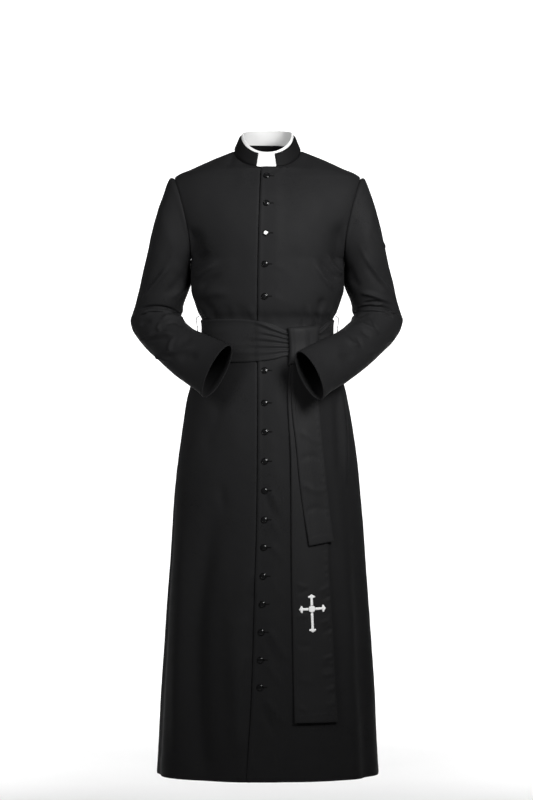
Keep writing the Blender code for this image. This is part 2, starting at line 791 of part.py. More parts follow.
# ---------------------------------------------------------------------- sash
sash_top_at = curve_through(SASH, 1)
sash_bottom_at = curve_through(SASH, 2)
KNOT_LEFT, KNOT_RIGHT = 0.0433, 0.1084
KNOT_TOP, KNOT_BOTTOM = -0.3865, -0.4690
KNOT_BULGE = 0.0150


def over_lap(turn, z):
    """Height of the fronts' outer face above the plain form."""
    x = plain_body(turn, z)[..., 0]
    edge = lap_edge_at(z)
    return np.where(
        np.abs(turn) < math.pi / 2,
        lap_lift(x) * smooth_step(edge - 0.006, edge, x),
        0.0,
    )


def on_rows(turn, z, out):
    """A point moved out from the flat faces between two rows of the panels."""
    levels = np.array(body_levels() + [ARMPIT_Z])
    i = np.clip(np.searchsorted(levels, z, side="right") - 1, 0, len(levels) - 2)
    share = ((z - levels[i]) / (levels[i + 1] - levels[i]))[..., None]
    return body(turn, levels[i], out) * (1 - share) + body(
        turn, levels[i + 1], out
    ) * share


def sash_turns():
    """The panels' own columns at the waist, so that the sash fits them."""
    z = -0.410
    lap_x = float(lap_edge_at(z))
    lap = [float(turn_of_x(x, z)) for x in (LAP_FULL_X, LAP_END_X)]
    side = math.pi / 2
    of_front = list(np.linspace(lap[1], side, FRONT_COLUMNS)[:-1])
    of_back = list(np.linspace(side, math.pi, BACK_COLUMNS + 1))
    left = [lap[0]] + of_front + of_back
    edge = [float(turn_of_x(x, z)) for x in (lap_x, lap_x - 0.006)]
    right = of_front + of_back[:-1]
    return np.array([edge[0]] + left + [-t for t in right[::-1]] + [edge[1]])


def belt_wrap():
    turns = sash_turns()
    shares = np.linspace(0, 1, 4)
    turn, share = np.meshgrid(turns, shares, indexing="xy")
    z = sash_bottom_at(np.degrees(turn)) + share * (
        sash_top_at(np.degrees(turn)) - sash_bottom_at(np.degrees(turn))
    )
    low = SASH_GAP + over_lap(turn, z)
    outer = on_rows(turn, z, low + SASH_CLOTH)
    inner = on_rows(turn, z, low)
    return paint(grid_cloth("belt_wrap", outer, inner, wrap=True), BLACK_CLOTH, 0.85)


def belt_knot():
    """The stretch that passes down over the sash: a short curved wall."""
    across = np.linspace(0, 1, 11)
    down = np.linspace(0, 1, 9)
    v, u = np.meshgrid(down, across, indexing="ij")
    z = KNOT_TOP + (KNOT_BOTTOM - KNOT_TOP) * v
    x = KNOT_LEFT + (KNOT_RIGHT - KNOT_LEFT) * u + 0.002 * (v - 0.5)
    crown = (1 - np.abs(2 * u - 1) ** 3.0) ** 0.5
    length = (1 - np.abs(2 * v - 1) ** 4.0 * np.where(v < 0.5, 1.0, 0.0)) ** 0.5
    high = 0.0070 + (KNOT_BULGE - 0.0070) * crown * (0.35 + 0.65 * length)
    high = high + 0.0030 * smooth_step(0.8, 1.0, v) * crown
    turn = turn_of_x(x, z)
    outer = body(turn, z, high)
    inner = body(turn, z, high - 0.0020)
    return paint(grid_cloth("belt_knot", outer, inner), BLACK_CLOTH, 0.85)


def hanging_end(name, table, columns, rows, slant=0.0):
    top, bottom = table[0][0], table[-1][0]
    left, right, height = [curve_through(table, c) for c in (1, 2, 3)]
    v, u = np.meshgrid(
        np.linspace(0, 1, rows + 1), np.linspace(0, 1, columns + 1), indexing="ij"
    )
    level = top + (bottom - top) * v
    z = level + slant * u * smooth_step(0.6, 1.0, v)
    x = left(level) + (right(level) - left(level)) * u
    turn = turn_of_x(x, z)
    outer = body(turn, z, height(level) + SASH_CLOTH)
    inner = body(turn, z, height(level))
    return paint(grid_cloth(name, outer, inner), BLACK_CLOTH, 0.85)


# --------------------------------------------------------------------- cross
CROSS_X, CROSS_Z = 0.0938, -0.9930  # where the bars meet
CROSS_UP, CROSS_DOWN = 0.0330, 0.0520
CROSS_LEFT, CROSS_RIGHT = 0.0285, 0.0310
CROSS_BAR = 0.0045                 # half width of a bar
CROSS_TIP = 0.0041                 # radius of the bud at the end of a bar ...
CROSS_BUD = 0.0036                 # ... and of the two beside it,
BUD_BACK = 0.0071                  # their middles this far from the end
BUD_OUT = 0.0056                   # and this far off the bar's middle
CROSS_LEAN = math.radians(2.0)
CROSS_CLOTH = 0.0010


def bud_end(length, direction):
    """Outline of one arm of the cross: straight sides that end in three buds."""
    side = [
        (
            length - BUD_BACK + CROSS_BUD * math.cos(math.radians(a)),
            BUD_OUT + CROSS_BUD * math.sin(math.radians(a)),
        )
        for a in (198, 150, 100, 50, 5)
    ]
    tip = [
        (
            length - CROSS_TIP + CROSS_TIP * math.cos(math.radians(a)),
            CROSS_TIP * math.sin(math.radians(a)),
        )
        for a in (60, 30, 0, -30, -60)
    ]
    out = side + tip + [(x, -y) for x, y in reversed(side)]
    c, s = math.cos(direction), math.sin(direction)
    return [(p[0] * c - p[1] * s, p[0] * s + p[1] * c) for p in out]


def cross():
    outline = []
    for length, degrees in (
        (CROSS_RIGHT, 0),
        (CROSS_DOWN, 270),
        (CROSS_LEFT, 180),
        (CROSS_UP, 90),
    ):
        arm = bud_end(length, math.radians(degrees))
        outline += arm
        # The inner corner between this arm and the next.
        a = math.radians(degrees - 45)
        outline.append(
            (
                CROSS_BAR * math.copysign(1, math.cos(a)),
                CROSS_BAR * math.copysign(1, math.sin(a)),
            )
        )
    lean = Matrix.Rotation(CROSS_LEAN, 2)
    flat = [lean @ Vector(p) for p in outline]
    count = len(flat)
    found, _, faces, *_ = delaunay_2d_cdt(
        flat, [], [list(range(count))], 1, 1e-7
    )
    heights = curve_through(LONG_END, 3)

    def lay(extra):
        x = np.array([CROSS_X + p[0] for p in found])
        z = np.array([CROSS_Z + p[1] for p in found])
        return body(turn_of_x(x, z), z, heights(z) + SASH_CLOTH + SEAM + extra)

    return paint(
        cloth("cross", lay(CROSS_CLOTH), lay(0.0), [list(f) for f in faces]),
        WHITE_CLOTH,
        0.6,
    )


# -------------------------------------------------------------- small pieces
def button(number, z, x):
    """A domed shank button, turned about its own axis and set on the lap."""
    profile = [
        # radius, height above the cloth
        (0.0, 0.0036),
        (0.40, 0.0034),
        (0.70, 0.0028),
        (0.86, 0.0024),
        (1.00, 0.0020),
        (1.00, 0.0010),
        (0.80, 0.0004),
        (0.0, 0.0004),
    ]
    sides = 12
    points, faces = [(0, 0, profile[0][1])], []
    for radius, height in profile[1:-1]:
        for k in range(sides):
            a = 2 * math.pi * k / sides
            points.append(
                (
                    BUTTON_RADIUS * radius * math.cos(a),
                    BUTTON_RADIUS * radius * math.sin(a),
                    height,
                )
            )
    points.append((0, 0, profile[-1][1]))
    rings = len(profile) - 2
    for k in range(sides):
        n = (k + 1) % sides
        faces.append([0, 1 + k, 1 + n])
        for r in range(rings - 1):
            a, b = 1 + r * sides, 1 + (r + 1) * sides
            faces.append([a + k, b + k, b + n, a + n])
        last = 1 + (rings - 1) * sides
        faces.append([len(points) - 1, last + n, last + k])
    thing = make_object(f"button_{number:02d}", points, faces)
    turn = turn_of_x(np.array(x), np.array(z))
    seat = body(turn, np.array(z), LAP_LIFT)
    normal = Vector(body_normal(turn, np.array(z)))
    thing.location = Vector(seat)
    thing.rotation_euler = normal.to_track_quat("Z", "Y").to_euler()
    if number == PALE_BUTTON:
        return paint(thing, (0.62, 0.62, 0.62), 0.35)
    return paint(thing, BLACK_GLOSS, 0.22)


LOOP_RADIUS = 0.0008
LOOP_TOP, LOOP_BOTTOM = -0.3585, -0.4735
LOOP_STANDS = 0.0085


def belt_loop(name, side):
    """A thread loop on the side seam, standing round the outside of the sash."""
    path = [
        (LOOP_TOP, 0.0016),
        (LOOP_TOP - 0.0012, 0.0044),
        (LOOP_TOP - 0.0050, 0.0112),
        (LOOP_TOP - 0.0130, 0.0122),
        (-0.400, 0.0105),
        (-0.430, 0.0105),
        (LOOP_BOTTOM + 0.012, 0.0085),
        (LOOP_BOTTOM + 0.004, 0.0050),
        (LOOP_BOTTOM, 0.0013),
    ]
    curve = bpy.data.curves.new(name, "CURVE")
    curve.dimensions = "3D"
    curve.bevel_depth = LOOP_RADIUS
    curve.bevel_resolution = 1
    curve.use_fill_caps = True
    spline = curve.splines.new("POLY")
    spline.points.add(len(path) - 1)
    for spot, (z, out) in zip(spline.points, path):
        x = float(half_width_at(z)) + out
        spot.co = (side * x, 0.0, z, 1.0)
    thing = bpy.data.objects.new(name, curve)
    bpy.context.scene.collection.objects.link(thing)
    return paint(thing, BLACK_CLOTH, 0.8)


# --------------------------------------------------------------- the garment
front("front_right", -1)
front("front_left", 1)
back_panel()
sleeve("sleeve_right", -1)
sleeve("sleeve_left", 1)
collar()
collar_insert()
belt_wrap()
belt_knot()
hanging_end("belt_end_long", LONG_END, 4, 17)
hanging_end("belt_end_short", SHORT_END, 4, 14, SHORT_END_SLANT)
cross()
belt_loop("belt_loop_right", -1)
belt_loop("belt_loop_left", 1)
for number, (z, x) in enumerate(BUTTONS, 1):
    button(number, z, x)
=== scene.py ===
"""The cassock's looks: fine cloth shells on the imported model's pieces, with
their folds, seams, weave, buttons and sash, a pale floor, lights and a camera.

The named sizes and tables are the part's own, so a shell lies on its solid.
"""

import math

import bmesh
import bpy
import numpy as np
from mathutils import Matrix, Vector
from mathutils.geometry import delaunay_2d_cdt


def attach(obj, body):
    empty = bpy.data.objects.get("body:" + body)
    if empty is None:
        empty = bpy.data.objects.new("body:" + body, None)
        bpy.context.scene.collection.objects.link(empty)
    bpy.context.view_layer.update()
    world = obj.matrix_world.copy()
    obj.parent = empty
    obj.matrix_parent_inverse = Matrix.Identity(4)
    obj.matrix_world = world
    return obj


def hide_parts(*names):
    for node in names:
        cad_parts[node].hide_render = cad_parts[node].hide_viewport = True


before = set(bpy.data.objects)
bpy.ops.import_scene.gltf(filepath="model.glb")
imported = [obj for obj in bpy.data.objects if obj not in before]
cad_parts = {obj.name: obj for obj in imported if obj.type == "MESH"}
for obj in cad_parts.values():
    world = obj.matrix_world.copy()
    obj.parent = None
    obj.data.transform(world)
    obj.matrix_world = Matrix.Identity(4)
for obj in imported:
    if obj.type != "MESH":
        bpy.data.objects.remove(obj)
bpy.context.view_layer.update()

# ---------------------------------------------------------------- named sizes
WALL = 0.0016            # thickness of the cloth
SEAM = 0.00004           # the sewn edges meet
HEM_Z = -1.362           # the hem is level all round
ARMPIT_Z = -0.235        # lowest point of the armhole
SHOULDER_Z = -0.056      # highest point of the armhole, end of the shoulder seam
NECK_SIDE_Z = 0.0044     # where the shoulder seam meets the collar
NECK_HALF_WIDTH = 0.0735
NECK_FRONT = 0.070       # depth of the neck oval in front of the shoulder line
NECK_BACK = 0.062        # and behind it
ARMHOLE_FRONT = 0.058    # how far the armhole reaches in front of its middle
ARMHOLE_BACK = 0.060
LAP_LIFT = 0.0023        # the left front lies this far over the right front
LAP_FULL_X = 0.016       # the lift is whole up to here ...
LAP_END_X = 0.040        # ... and has faded out here
UNDERLAP_X = 0.012       # the right front reaches this far under the left

BODY_ROWS = 262
CENTRE_ROWS = 47         # rows from the armpit level up to the front of the neck
NECK_ROWS = 26           # rows that start on the neckline

# The body, a row for each level: half width, depth before and behind the side
# seam, and how square the section is (2 is an ellipse).
BODY = [
    # z, half_width, front, back, square
    (HEM_Z, 0.2435, 0.1925, 0.1830, 2.25),
    (-1.250, 0.2385, 0.1860, 0.1760, 2.22),
    (-1.100, 0.2300, 0.1770, 0.1660, 2.18),
    (-0.950, 0.2195, 0.1680, 0.1570, 2.14),
    (-0.800, 0.2090, 0.1560, 0.1470, 2.10),
    (-0.700, 0.2000, 0.1480, 0.1390, 2.08),
    (-0.620, 0.1895, 0.1400, 0.1320, 2.05),
    (-0.550, 0.1780, 0.1310, 0.1230, 2.02),
    (-0.500, 0.1660, 0.1230, 0.1120, 2.00),
    (-0.455, 0.1480, 0.1130, 0.0960, 2.00),
    (-0.415, 0.1425, 0.1080, 0.0890, 2.00),
    (-0.385, 0.1425, 0.1080, 0.0880, 2.00),
    (-0.366, 0.1445, 0.1100, 0.0900, 2.00),
    (-0.350, 0.1530, 0.1165, 0.0960, 2.00),
    (-0.330, 0.1600, 0.1200, 0.1000, 2.00),
    (-0.300, 0.1682, 0.1215, 0.1020, 2.00),
    (-0.270, 0.1688, 0.1235, 0.1040, 2.00),
    (ARMPIT_Z, 0.1680, 0.1245, 0.1060, 2.00),
    (-0.190, 0.1700, 0.1230, 0.1075, 2.00),
    (-0.150, 0.1700, 0.1170, 0.1060, 2.00),
    (-0.100, 0.1700, 0.1040, 0.0990, 2.00),
    (SHOULDER_Z, 0.2045, 0.0820, 0.0890, 2.00),
    (-0.0462, 0.1925, 0.0755, 0.0855, 2.00),
    (-0.0374, 0.1715, 0.0700, 0.0825, 2.00),
    (-0.0286, 0.1520, 0.0580, 0.0785, 2.00),
    (-0.0198, 0.1315, 0.0470, 0.0750, 2.00),
    (-0.0110, 0.1115, 0.0350, 0.0705, 2.00),
    (-0.0020, 0.0895, 0.0260, 0.0655, 2.00),
    (NECK_SIDE_Z, NECK_HALF_WIDTH, 0.0210, NECK_BACK, 2.00),
]

# Sideways place of the armhole seam.
ARMHOLE = [
    # z, x
    (ARMPIT_Z, 0.1680),
    (-0.200, 0.1700),
    (-0.1755, 0.1735),
    (-0.130, 0.1830),
    (-0.090, 0.1935),
    (SHOULDER_Z, 0.2045),
]

# Front edge of the left front, which swings towards the right at the hem.
LAP_EDGE = [
    # z, x
    (HEM_Z, -0.0445),
    (-1.170, -0.0333),
    (-0.970, -0.0276),
    (-0.800, -0.0223),
    (-0.560, -0.0206),
    (-0.330, -0.0206),
    (-0.176, -0.0184),
    (-0.037, -0.0135),
]

# One arm, a row for each ring: the ring's outer and inner point seen from the
# front, its middle's y and its half depth.  The arm hangs, bends at the elbow
# and comes forward across the waist.
SLEEVE = [
    # outer_x, outer_z, inner_x, inner_z, middle_y, half_depth
    (0.2050, -0.0560, 0.1685, -0.2350, 0.000, 0.0590),
    (0.2125, -0.0556, 0.1695, -0.2400, 0.001, 0.0600),
    (0.2190, -0.0655, 0.1702, -0.2460, 0.002, 0.0612),
    (0.2265, -0.0880, 0.1706, -0.2530, 0.004, 0.0625),
    (0.2385, -0.1210, 0.1710, -0.2620, 0.007, 0.0635),
    (0.2530, -0.1730, 0.1714, -0.2740, 0.012, 0.0635),
    (0.2640, -0.2170, 0.1724, -0.2860, 0.018, 0.0630),
    (0.2750, -0.2630, 0.1768, -0.3000, 0.024, 0.0620),
    (0.2850, -0.3030, 0.1815, -0.3180, 0.030, 0.0610),
    (0.2925, -0.3340, 0.1865, -0.3360, 0.035, 0.0600),
    (0.3000, -0.3560, 0.1890, -0.3490, 0.037, 0.0590),
    (0.3035, -0.3690, 0.1893, -0.3565, 0.035, 0.0580),
    (0.3000, -0.3844, 0.1885, -0.3605, 0.030, 0.0570),
    (0.2890, -0.4024, 0.1870, -0.3640, 0.021, 0.0560),
    (0.2750, -0.4203, 0.1848, -0.3675, 0.009, 0.0545),
    (0.2585, -0.4383, 0.1815, -0.3715, -0.006, 0.0520),
    (0.2385, -0.4565, 0.1750, -0.3775, -0.024, 0.0490),
    (0.2200, -0.4737, 0.1600, -0.3895, -0.050, 0.0440),
    (0.1998, -0.4913, 0.1390, -0.3990, -0.080, 0.0390),
    (0.1753, -0.5088, 0.1180, -0.4080, -0.114, 0.0340),
    (0.1560, -0.5225, 0.0990, -0.4165, -0.145, 0.0300),
    (0.1425, -0.5348, 0.0857, -0.4225, -0.170, 0.0270),
]

# The left arm is held a little higher and closer than the right: what its
# rings' outer and inner points are moved by, along the sleeve.
LEFT_ARM = [
    # share, outer_x, inner_x, inner_z, middle_y
    (0.00, 0.0000, 0.0000, 0.0000, 0.000),
    (0.15, -0.0030, 0.0000, 0.0000, 0.000),
    (0.55, -0.0040, 0.0000, 0.0000, 0.000),
    (0.70, -0.0065, -0.0005, -0.0010, -0.004),
    (0.85, -0.0090, -0.0020, -0.0040, -0.018),
    (1.00, -0.0110, -0.0050, -0.0090, -0.018),
]

# Towards the cuff the table's line runs nearer the front of each ring: by what
# share of its half depth, and that half depth's share of the table's.
CUFF_FROM = 0.70
LEFT_CUFF = (0.93, 0.88)
RIGHT_CUFF = (0.38, 0.80)

# The widest folds of the skirt, each a soft ridge or, where its height is
# negative, a trough.  It runs from top to bottom along the given turns about
# the body (0 is the front, 90 the wearer's left side, 180 the back).
SKIRT_FOLDS = [
    # top_z, top_turn, middle_z, middle_turn, bottom_turn, half_width, height
    (-0.600, -17.0, -1.020, -41.0, -33.0, 8.0, -0.0070),
    (-0.700, -8.0, -1.080, -14.5, -13.0, 6.0, 0.0035),
    (-0.560, -58.0, -0.950, -60.0, -58.0, 9.0, 0.0045),
    (-0.620, -80.0, -1.000, -79.0, -77.0, 7.0, -0.0050),
    (-0.640, 14.0, -1.000, 10.0, 9.0, 6.0, -0.0035),
    (-0.560, 47.0, -0.950, 48.0, 49.0, 6.0, 0.0050),
    (-0.600, 62.0, -1.000, 60.0, 60.0, 7.0, -0.0060),
    (-0.620, 79.0, -1.000, 78.0, 76.0, 8.0, 0.0015),
    (-0.560, 100.0, -0.980, 101.0, 102.0, 8.0, -0.0060),
    (-0.580, 119.0, -1.000, 120.0, 121.0, 8.0, 0.0070),
    (-0.560, 140.0, -1.000, 140.0, 139.0, 8.0, -0.0080),
    (-0.540, 161.0, -0.950, 160.0, 160.0, 9.0, 0.0075),
    (-0.560, 180.0, -1.000, 180.0, 180.0, 8.0, -0.0080),
    (-0.580, 199.0, -0.960, 200.0, 201.0, 9.0, 0.0070),
    (-0.560, 221.0, -1.000, 220.0, 220.0, 8.0, -0.0075),
    (-0.600, 241.0, -1.000, 240.0, 239.0, 8.0, 0.0065),
    (-0.560, 260.0, -0.980, 259.0, 258.0, 8.0, -0.0050),
]

# The sash round the waist: its top and bottom edge at turns about the body.
SASH = [
    # turn, top_z, bottom_z
    (-180.0, -0.3670, -0.4620),
    (-90.0, -0.3670, -0.4630),
    (-30.0, -0.3675, -0.4620),
    (-8.0, -0.3720, -0.4600),
    (4.0, -0.3790, -0.4560),
    (17.0, -0.3930, -0.4480),
    (34.0, -0.3970, -0.4450),
    (50.0, -0.3900, -0.4520),
    (66.0, -0.3720, -0.4610),
    (90.0, -0.3670, -0.4630),
    (180.0, -0.3670, -0.4620),
]
SASH_CLOTH = 0.0018
SASH_GAP = 0.0006

# The hanging sash ends: both side edges at levels, and the height over the
# skirt.
LONG_END = [
    # z, left_x, right_x, height
    (-0.452, 0.0490, 0.0990, 0.0040),
    (-0.480, 0.0465, 0.1040, 0.0038),
    (-0.536, 0.0432, 0.1080, 0.0030),
    (-0.677, 0.0500, 0.1150, 0.0026),
    (-0.865, 0.0515, 0.1290, 0.0026),
    (-0.940, 0.0522, 0.1325, 0.0026),
    (-1.029, 0.0540, 0.1378, 0.0026),
    (-1.130, 0.0555, 0.1430, 0.0026),
    (-1.236, 0.0575, 0.1481, 0.0026),
]
SHORT_END = [
    # z, left_x, right_x, height
    (-0.452, 0.0540, 0.0960, 0.0068),
    (-0.480, 0.0505, 0.1025, 0.0068),
    (-0.536, 0.0500, 0.1064, 0.0062),
    (-0.640, 0.0600, 0.1160, 0.0058),
    (-0.740, 0.0700, 0.1260, 0.0056),
    (-0.858, 0.0868, 0.1373, 0.0056),
]
SHORT_END_SLANT = 0.009   # its lower edge rises this much towards the left side

# Buttons: height and sideways place of each, top to bottom.  The one that the
# sash covers isn't built.
BUTTONS = [
    # z, x
    (-0.0573, -0.0022),
    (-0.1174, -0.0029),
    (-0.1823, -0.0039),
    (-0.2494, -0.0057),
    (-0.3191, -0.0065),
    (-0.4800, -0.0065),
    (-0.5499, -0.0063),
    (-0.6123, -0.0056),
    (-0.6754, -0.0060),
    (-0.7389, -0.0068),
    (-0.8013, -0.0072),
    (-0.8605, -0.0082),
    (-0.9220, -0.0096),
    (-0.9820, -0.0112),
    (-1.0416, -0.0134),
    (-1.1010, -0.0152),
    (-1.1596, -0.0164),
]
BUTTON_RADIUS = 0.0070
PALE_BUTTON = 3


# ------------------------------------------------------------------- helpers
def curve_through(rows, column):
    """A smooth function of the first column that never overshoots its rows."""
    rows = sorted(rows, key=lambda row: row[0])
    x = np.array([row[0] for row in rows], float)
    y = np.array([row[column] for row in rows], float)
    h = np.diff(x)
    d = np.diff(y) / h
    m = np.zeros_like(y)
    m[0], m[-1] = d[0], d[-1]
    for i in range(1, len(x) - 1):
        if d[i - 1] * d[i] > 0:
            w1, w2 = 2 * h[i] + h[i - 1], h[i] + 2 * h[i - 1]
            m[i] = (w1 + w2) / (w1 / d[i - 1] + w2 / d[i])

    def value(at):
        at = np.clip(np.asarray(at, float), x[0], x[-1])
        i = np.clip(np.searchsorted(x, at, side="right") - 1, 0, len(x) - 2)
        t = (at - x[i]) / h[i]
        return (
            (1 + 2 * t) * (1 - t) ** 2 * y[i]
            + t * (1 - t) ** 2 * h[i] * m[i]
            + t * t * (3 - 2 * t) * y[i + 1]
            + t * t * (t - 1) * h[i] * m[i + 1]
        )

    return value


def smooth_step(low, high, value):
    t = np.clip((np.asarray(value, float) - low) / (high - low), 0, 1)
    return t * t * (3 - 2 * t)


def unit(vectors):
    return vectors / np.maximum(np.linalg.norm(vectors, axis=-1, keepdims=True), 1e-12)


half_width_at = curve_through(BODY, 1)
front_at = curve_through(BODY, 2)
back_at = curve_through(BODY, 3)
square_at = curve_through(BODY, 4)
armhole_x_at = curve_through(ARMHOLE, 1)
lap_edge_at = curve_through(LAP_EDGE, 1)

ARMHOLE_MIDDLE = (SHOULDER_Z + ARMPIT_Z) / 2
ARMHOLE_HALF = (SHOULDER_Z - ARMPIT_Z) / 2


# ------------------------------------------------------------- the body form
def section(turn, z):
    """Half width, depth and squareness of the body's section at a level.

    Beside an armhole the half width is the one whose oval passes through the
    armhole seam, so the seam lies on the form.
    """
    behind = np.abs(turn) > math.pi / 2
    depth = np.where(behind, back_at(z), front_at(z))
    reach = np.where(behind, ARMHOLE_BACK, ARMHOLE_FRONT)
    across = np.clip(1 - ((z - ARMHOLE_MIDDLE) / ARMHOLE_HALF) ** 2, 0, 1)
    beside = armhole_x_at(z) / np.sqrt(1 - reach**2 * across / depth**2)
    half = np.where(
        (z > ARMPIT_Z) & (z < SHOULDER_Z), beside, half_width_at(z)
    )
    return half, depth, square_at(z)


def plain_body(turn, z):
    half, depth, n = section(turn, z)
    s, c = np.sin(turn), np.cos(turn)
    r = (np.abs(s) ** n + np.abs(c) ** n) ** (-1 / n)
    return np.stack([half * r * s, -depth * r * c, z + 0 * turn], axis=-1)


def fold_height(turn, z):
    """How far the skirt's folds stand out from the plain form."""
    degrees = np.degrees(turn)
    total = np.zeros(np.broadcast(turn, z).shape)
    for top, turn_top, middle, turn_middle, turn_bottom, width, height in SKIRT_FOLDS:
        path = curve_through(
            [(HEM_Z, turn_bottom), (middle, turn_middle), (top, turn_top)], 1
        )
        off = (degrees - path(z) + 180) % 360 - 180
        total += (
            height
            * np.exp(-((off / width) ** 2))
            * smooth_step(top + 0.02, middle, z)
        )
    return total


def body(turn, z, out=0.0):
    """A point of the body's outer face, moved out by `out`."""
    turn, z = np.broadcast_arrays(
        np.asarray(turn, float), np.asarray(z, float)
    )
    point = plain_body(turn, z)
    normal = body_normal(turn, z)
    return point + normal * (fold_height(turn, z) + out)[..., None]


def body_normal(turn, z):
    e = 2e-4
    # One-sided steps keep each side of a seam on its own piece.
    inward = np.where(np.abs(turn) > math.pi / 2, 1, -1) * np.sign(turn + 1e-9)
    along = (plain_body(turn + e * inward, z) - plain_body(turn, z)) * inward[
        ..., None
    ]
    up = plain_body(turn, z + e) - plain_body(turn, z - e)
    return unit(np.cross(along, up))


def turn_of_x(x, z):
    """The turn at which the front of the plain form has this x."""
    half, _, n = section(np.zeros_like(np.asarray(z, float)), z)
    q = np.clip(np.abs(x) / half, 0, 0.9999)
    return np.sign(x) * np.arctan2(q, (1 - q**n) ** (1 / n))


def lap_lift(x):
    return LAP_LIFT * (1 - smooth_step(LAP_FULL_X, LAP_END_X, x))


def front_neck(angle):
    """(turn, z) where the front meets the neck oval, by angle about the neck."""
    x, y = NECK_HALF_WIDTH * math.sin(angle), NECK_FRONT * math.cos(angle)
    low, high = -0.07, NECK_SIDE_Z
    for _ in range(50):
        z = (low + high) / 2
        half, depth = float(half_width_at(z)), float(front_at(z))
        reach = depth * math.sqrt(max(0.0, 1 - (x / half) ** 2))
        low, high = (z, high) if reach > y else (low, z)
    half, depth = float(half_width_at(z)), float(front_at(z))
    return math.atan2(x / half, max(y / depth, 1e-6)), z


# -------------------------------------------------------------------- panels
def body_levels():
    """Levels from hem to armpit, even."""
    return list(np.linspace(HEM_Z, ARMPIT_Z, BODY_ROWS + 1)[:-1])


def armhole_point(k, rows, behind):
    """(turn, z) of the armhole seam, k of rows from the armpit up."""
    angle = math.pi * (1 - k / rows)
    z = ARMHOLE_MIDDLE + ARMHOLE_HALF * math.cos(angle)
    reach = (ARMHOLE_BACK if behind else ARMHOLE_FRONT) * math.sin(angle)
    depth = float(back_at(z) if behind else front_at(z))
    x = float(armhole_x_at(z))
    half = x / math.sqrt(1 - (reach / depth) ** 2)
    turn = math.atan2(x / half, max(reach, SEAM / 2) / depth)
    return (math.pi - turn if behind else turn), z


def half_rows(behind, edge_x=None):
    """Rows of one half of the front or back, each ((turn, z), (turn, z)) from
    the centre edge or neckline to the side seam, armhole or shoulder seam."""
    rows = []
    for z in body_levels():
        depth = float(back_at(z) if behind else front_at(z))
        side = math.pi / 2 - SEAM / 2 / depth
        if behind:
            rows.append(((math.pi, z), (math.pi - side, z)))
        else:
            rows.append(((float(turn_of_x(edge_x(z), z)), z), (side, z)))
    total = CENTRE_ROWS + NECK_ROWS
    if behind:
        corner = (math.pi, NECK_SIDE_Z)
        first = 0.0
    else:
        # Angle about the neck at which the front edge meets the neckline.
        first = math.asin(edge_x(-0.037) / NECK_HALF_WIDTH)
        corner = front_neck(first)
    for k in range(total + 1):
        if k <= CENTRE_ROWS:
            z = ARMPIT_Z + (corner[1] - ARMPIT_Z) * k / CENTRE_ROWS
            if behind:
                inner = (math.pi, z)
            elif k == CENTRE_ROWS:
                inner = corner
            else:
                inner = (float(turn_of_x(edge_x(z), z)), z)
        else:
            t = (k - CENTRE_ROWS) / NECK_ROWS
            if behind:
                turn = math.pi * (1 - t / 2)
                inner = (max(turn, math.pi / 2 + SEAM / 2 / NECK_BACK), NECK_SIDE_Z)
            else:
                turn, z = front_neck(first + (math.pi / 2 - first) * t)
                inner = (turn, z)
        rows.append((inner, armhole_point(k, total, behind)))
    # The last row is the shoulder seam: keep it half a gap from its ridge.
    last = []
    for turn, z in rows[-1]:
        depth = float(back_at(z) if behind else front_at(z))
        side = math.pi / 2 - SEAM / 2 / depth
        last.append((math.pi - side if behind else side, z))
    rows[-1] = tuple(last)
    return rows


def row_points(rows, shares, level=0):
    """turn and z of every grid point: linear along each row, except that the
    first points, up to number `level`, stay level where the fronts lap."""
    turn = np.zeros((len(rows), len(shares[0])))
    z = np.zeros_like(turn)
    for i, ((t0, z0), (t1, z1)) in enumerate(rows):
        turn[i] = t0 + (t1 - t0) * shares[i]
        from_level = (shares[i] - shares[i][level]) / (1 - shares[i][level])
        z[i] = z0 + (z1 - z0) * np.maximum(from_level, 0)
    return turn, z


# ------------------------------------------------------------------- sleeves
left_outer_x, left_inner_x, left_inner_z, left_middle_y = [
    curve_through(LEFT_ARM, c) for c in (1, 2, 3, 4)
]


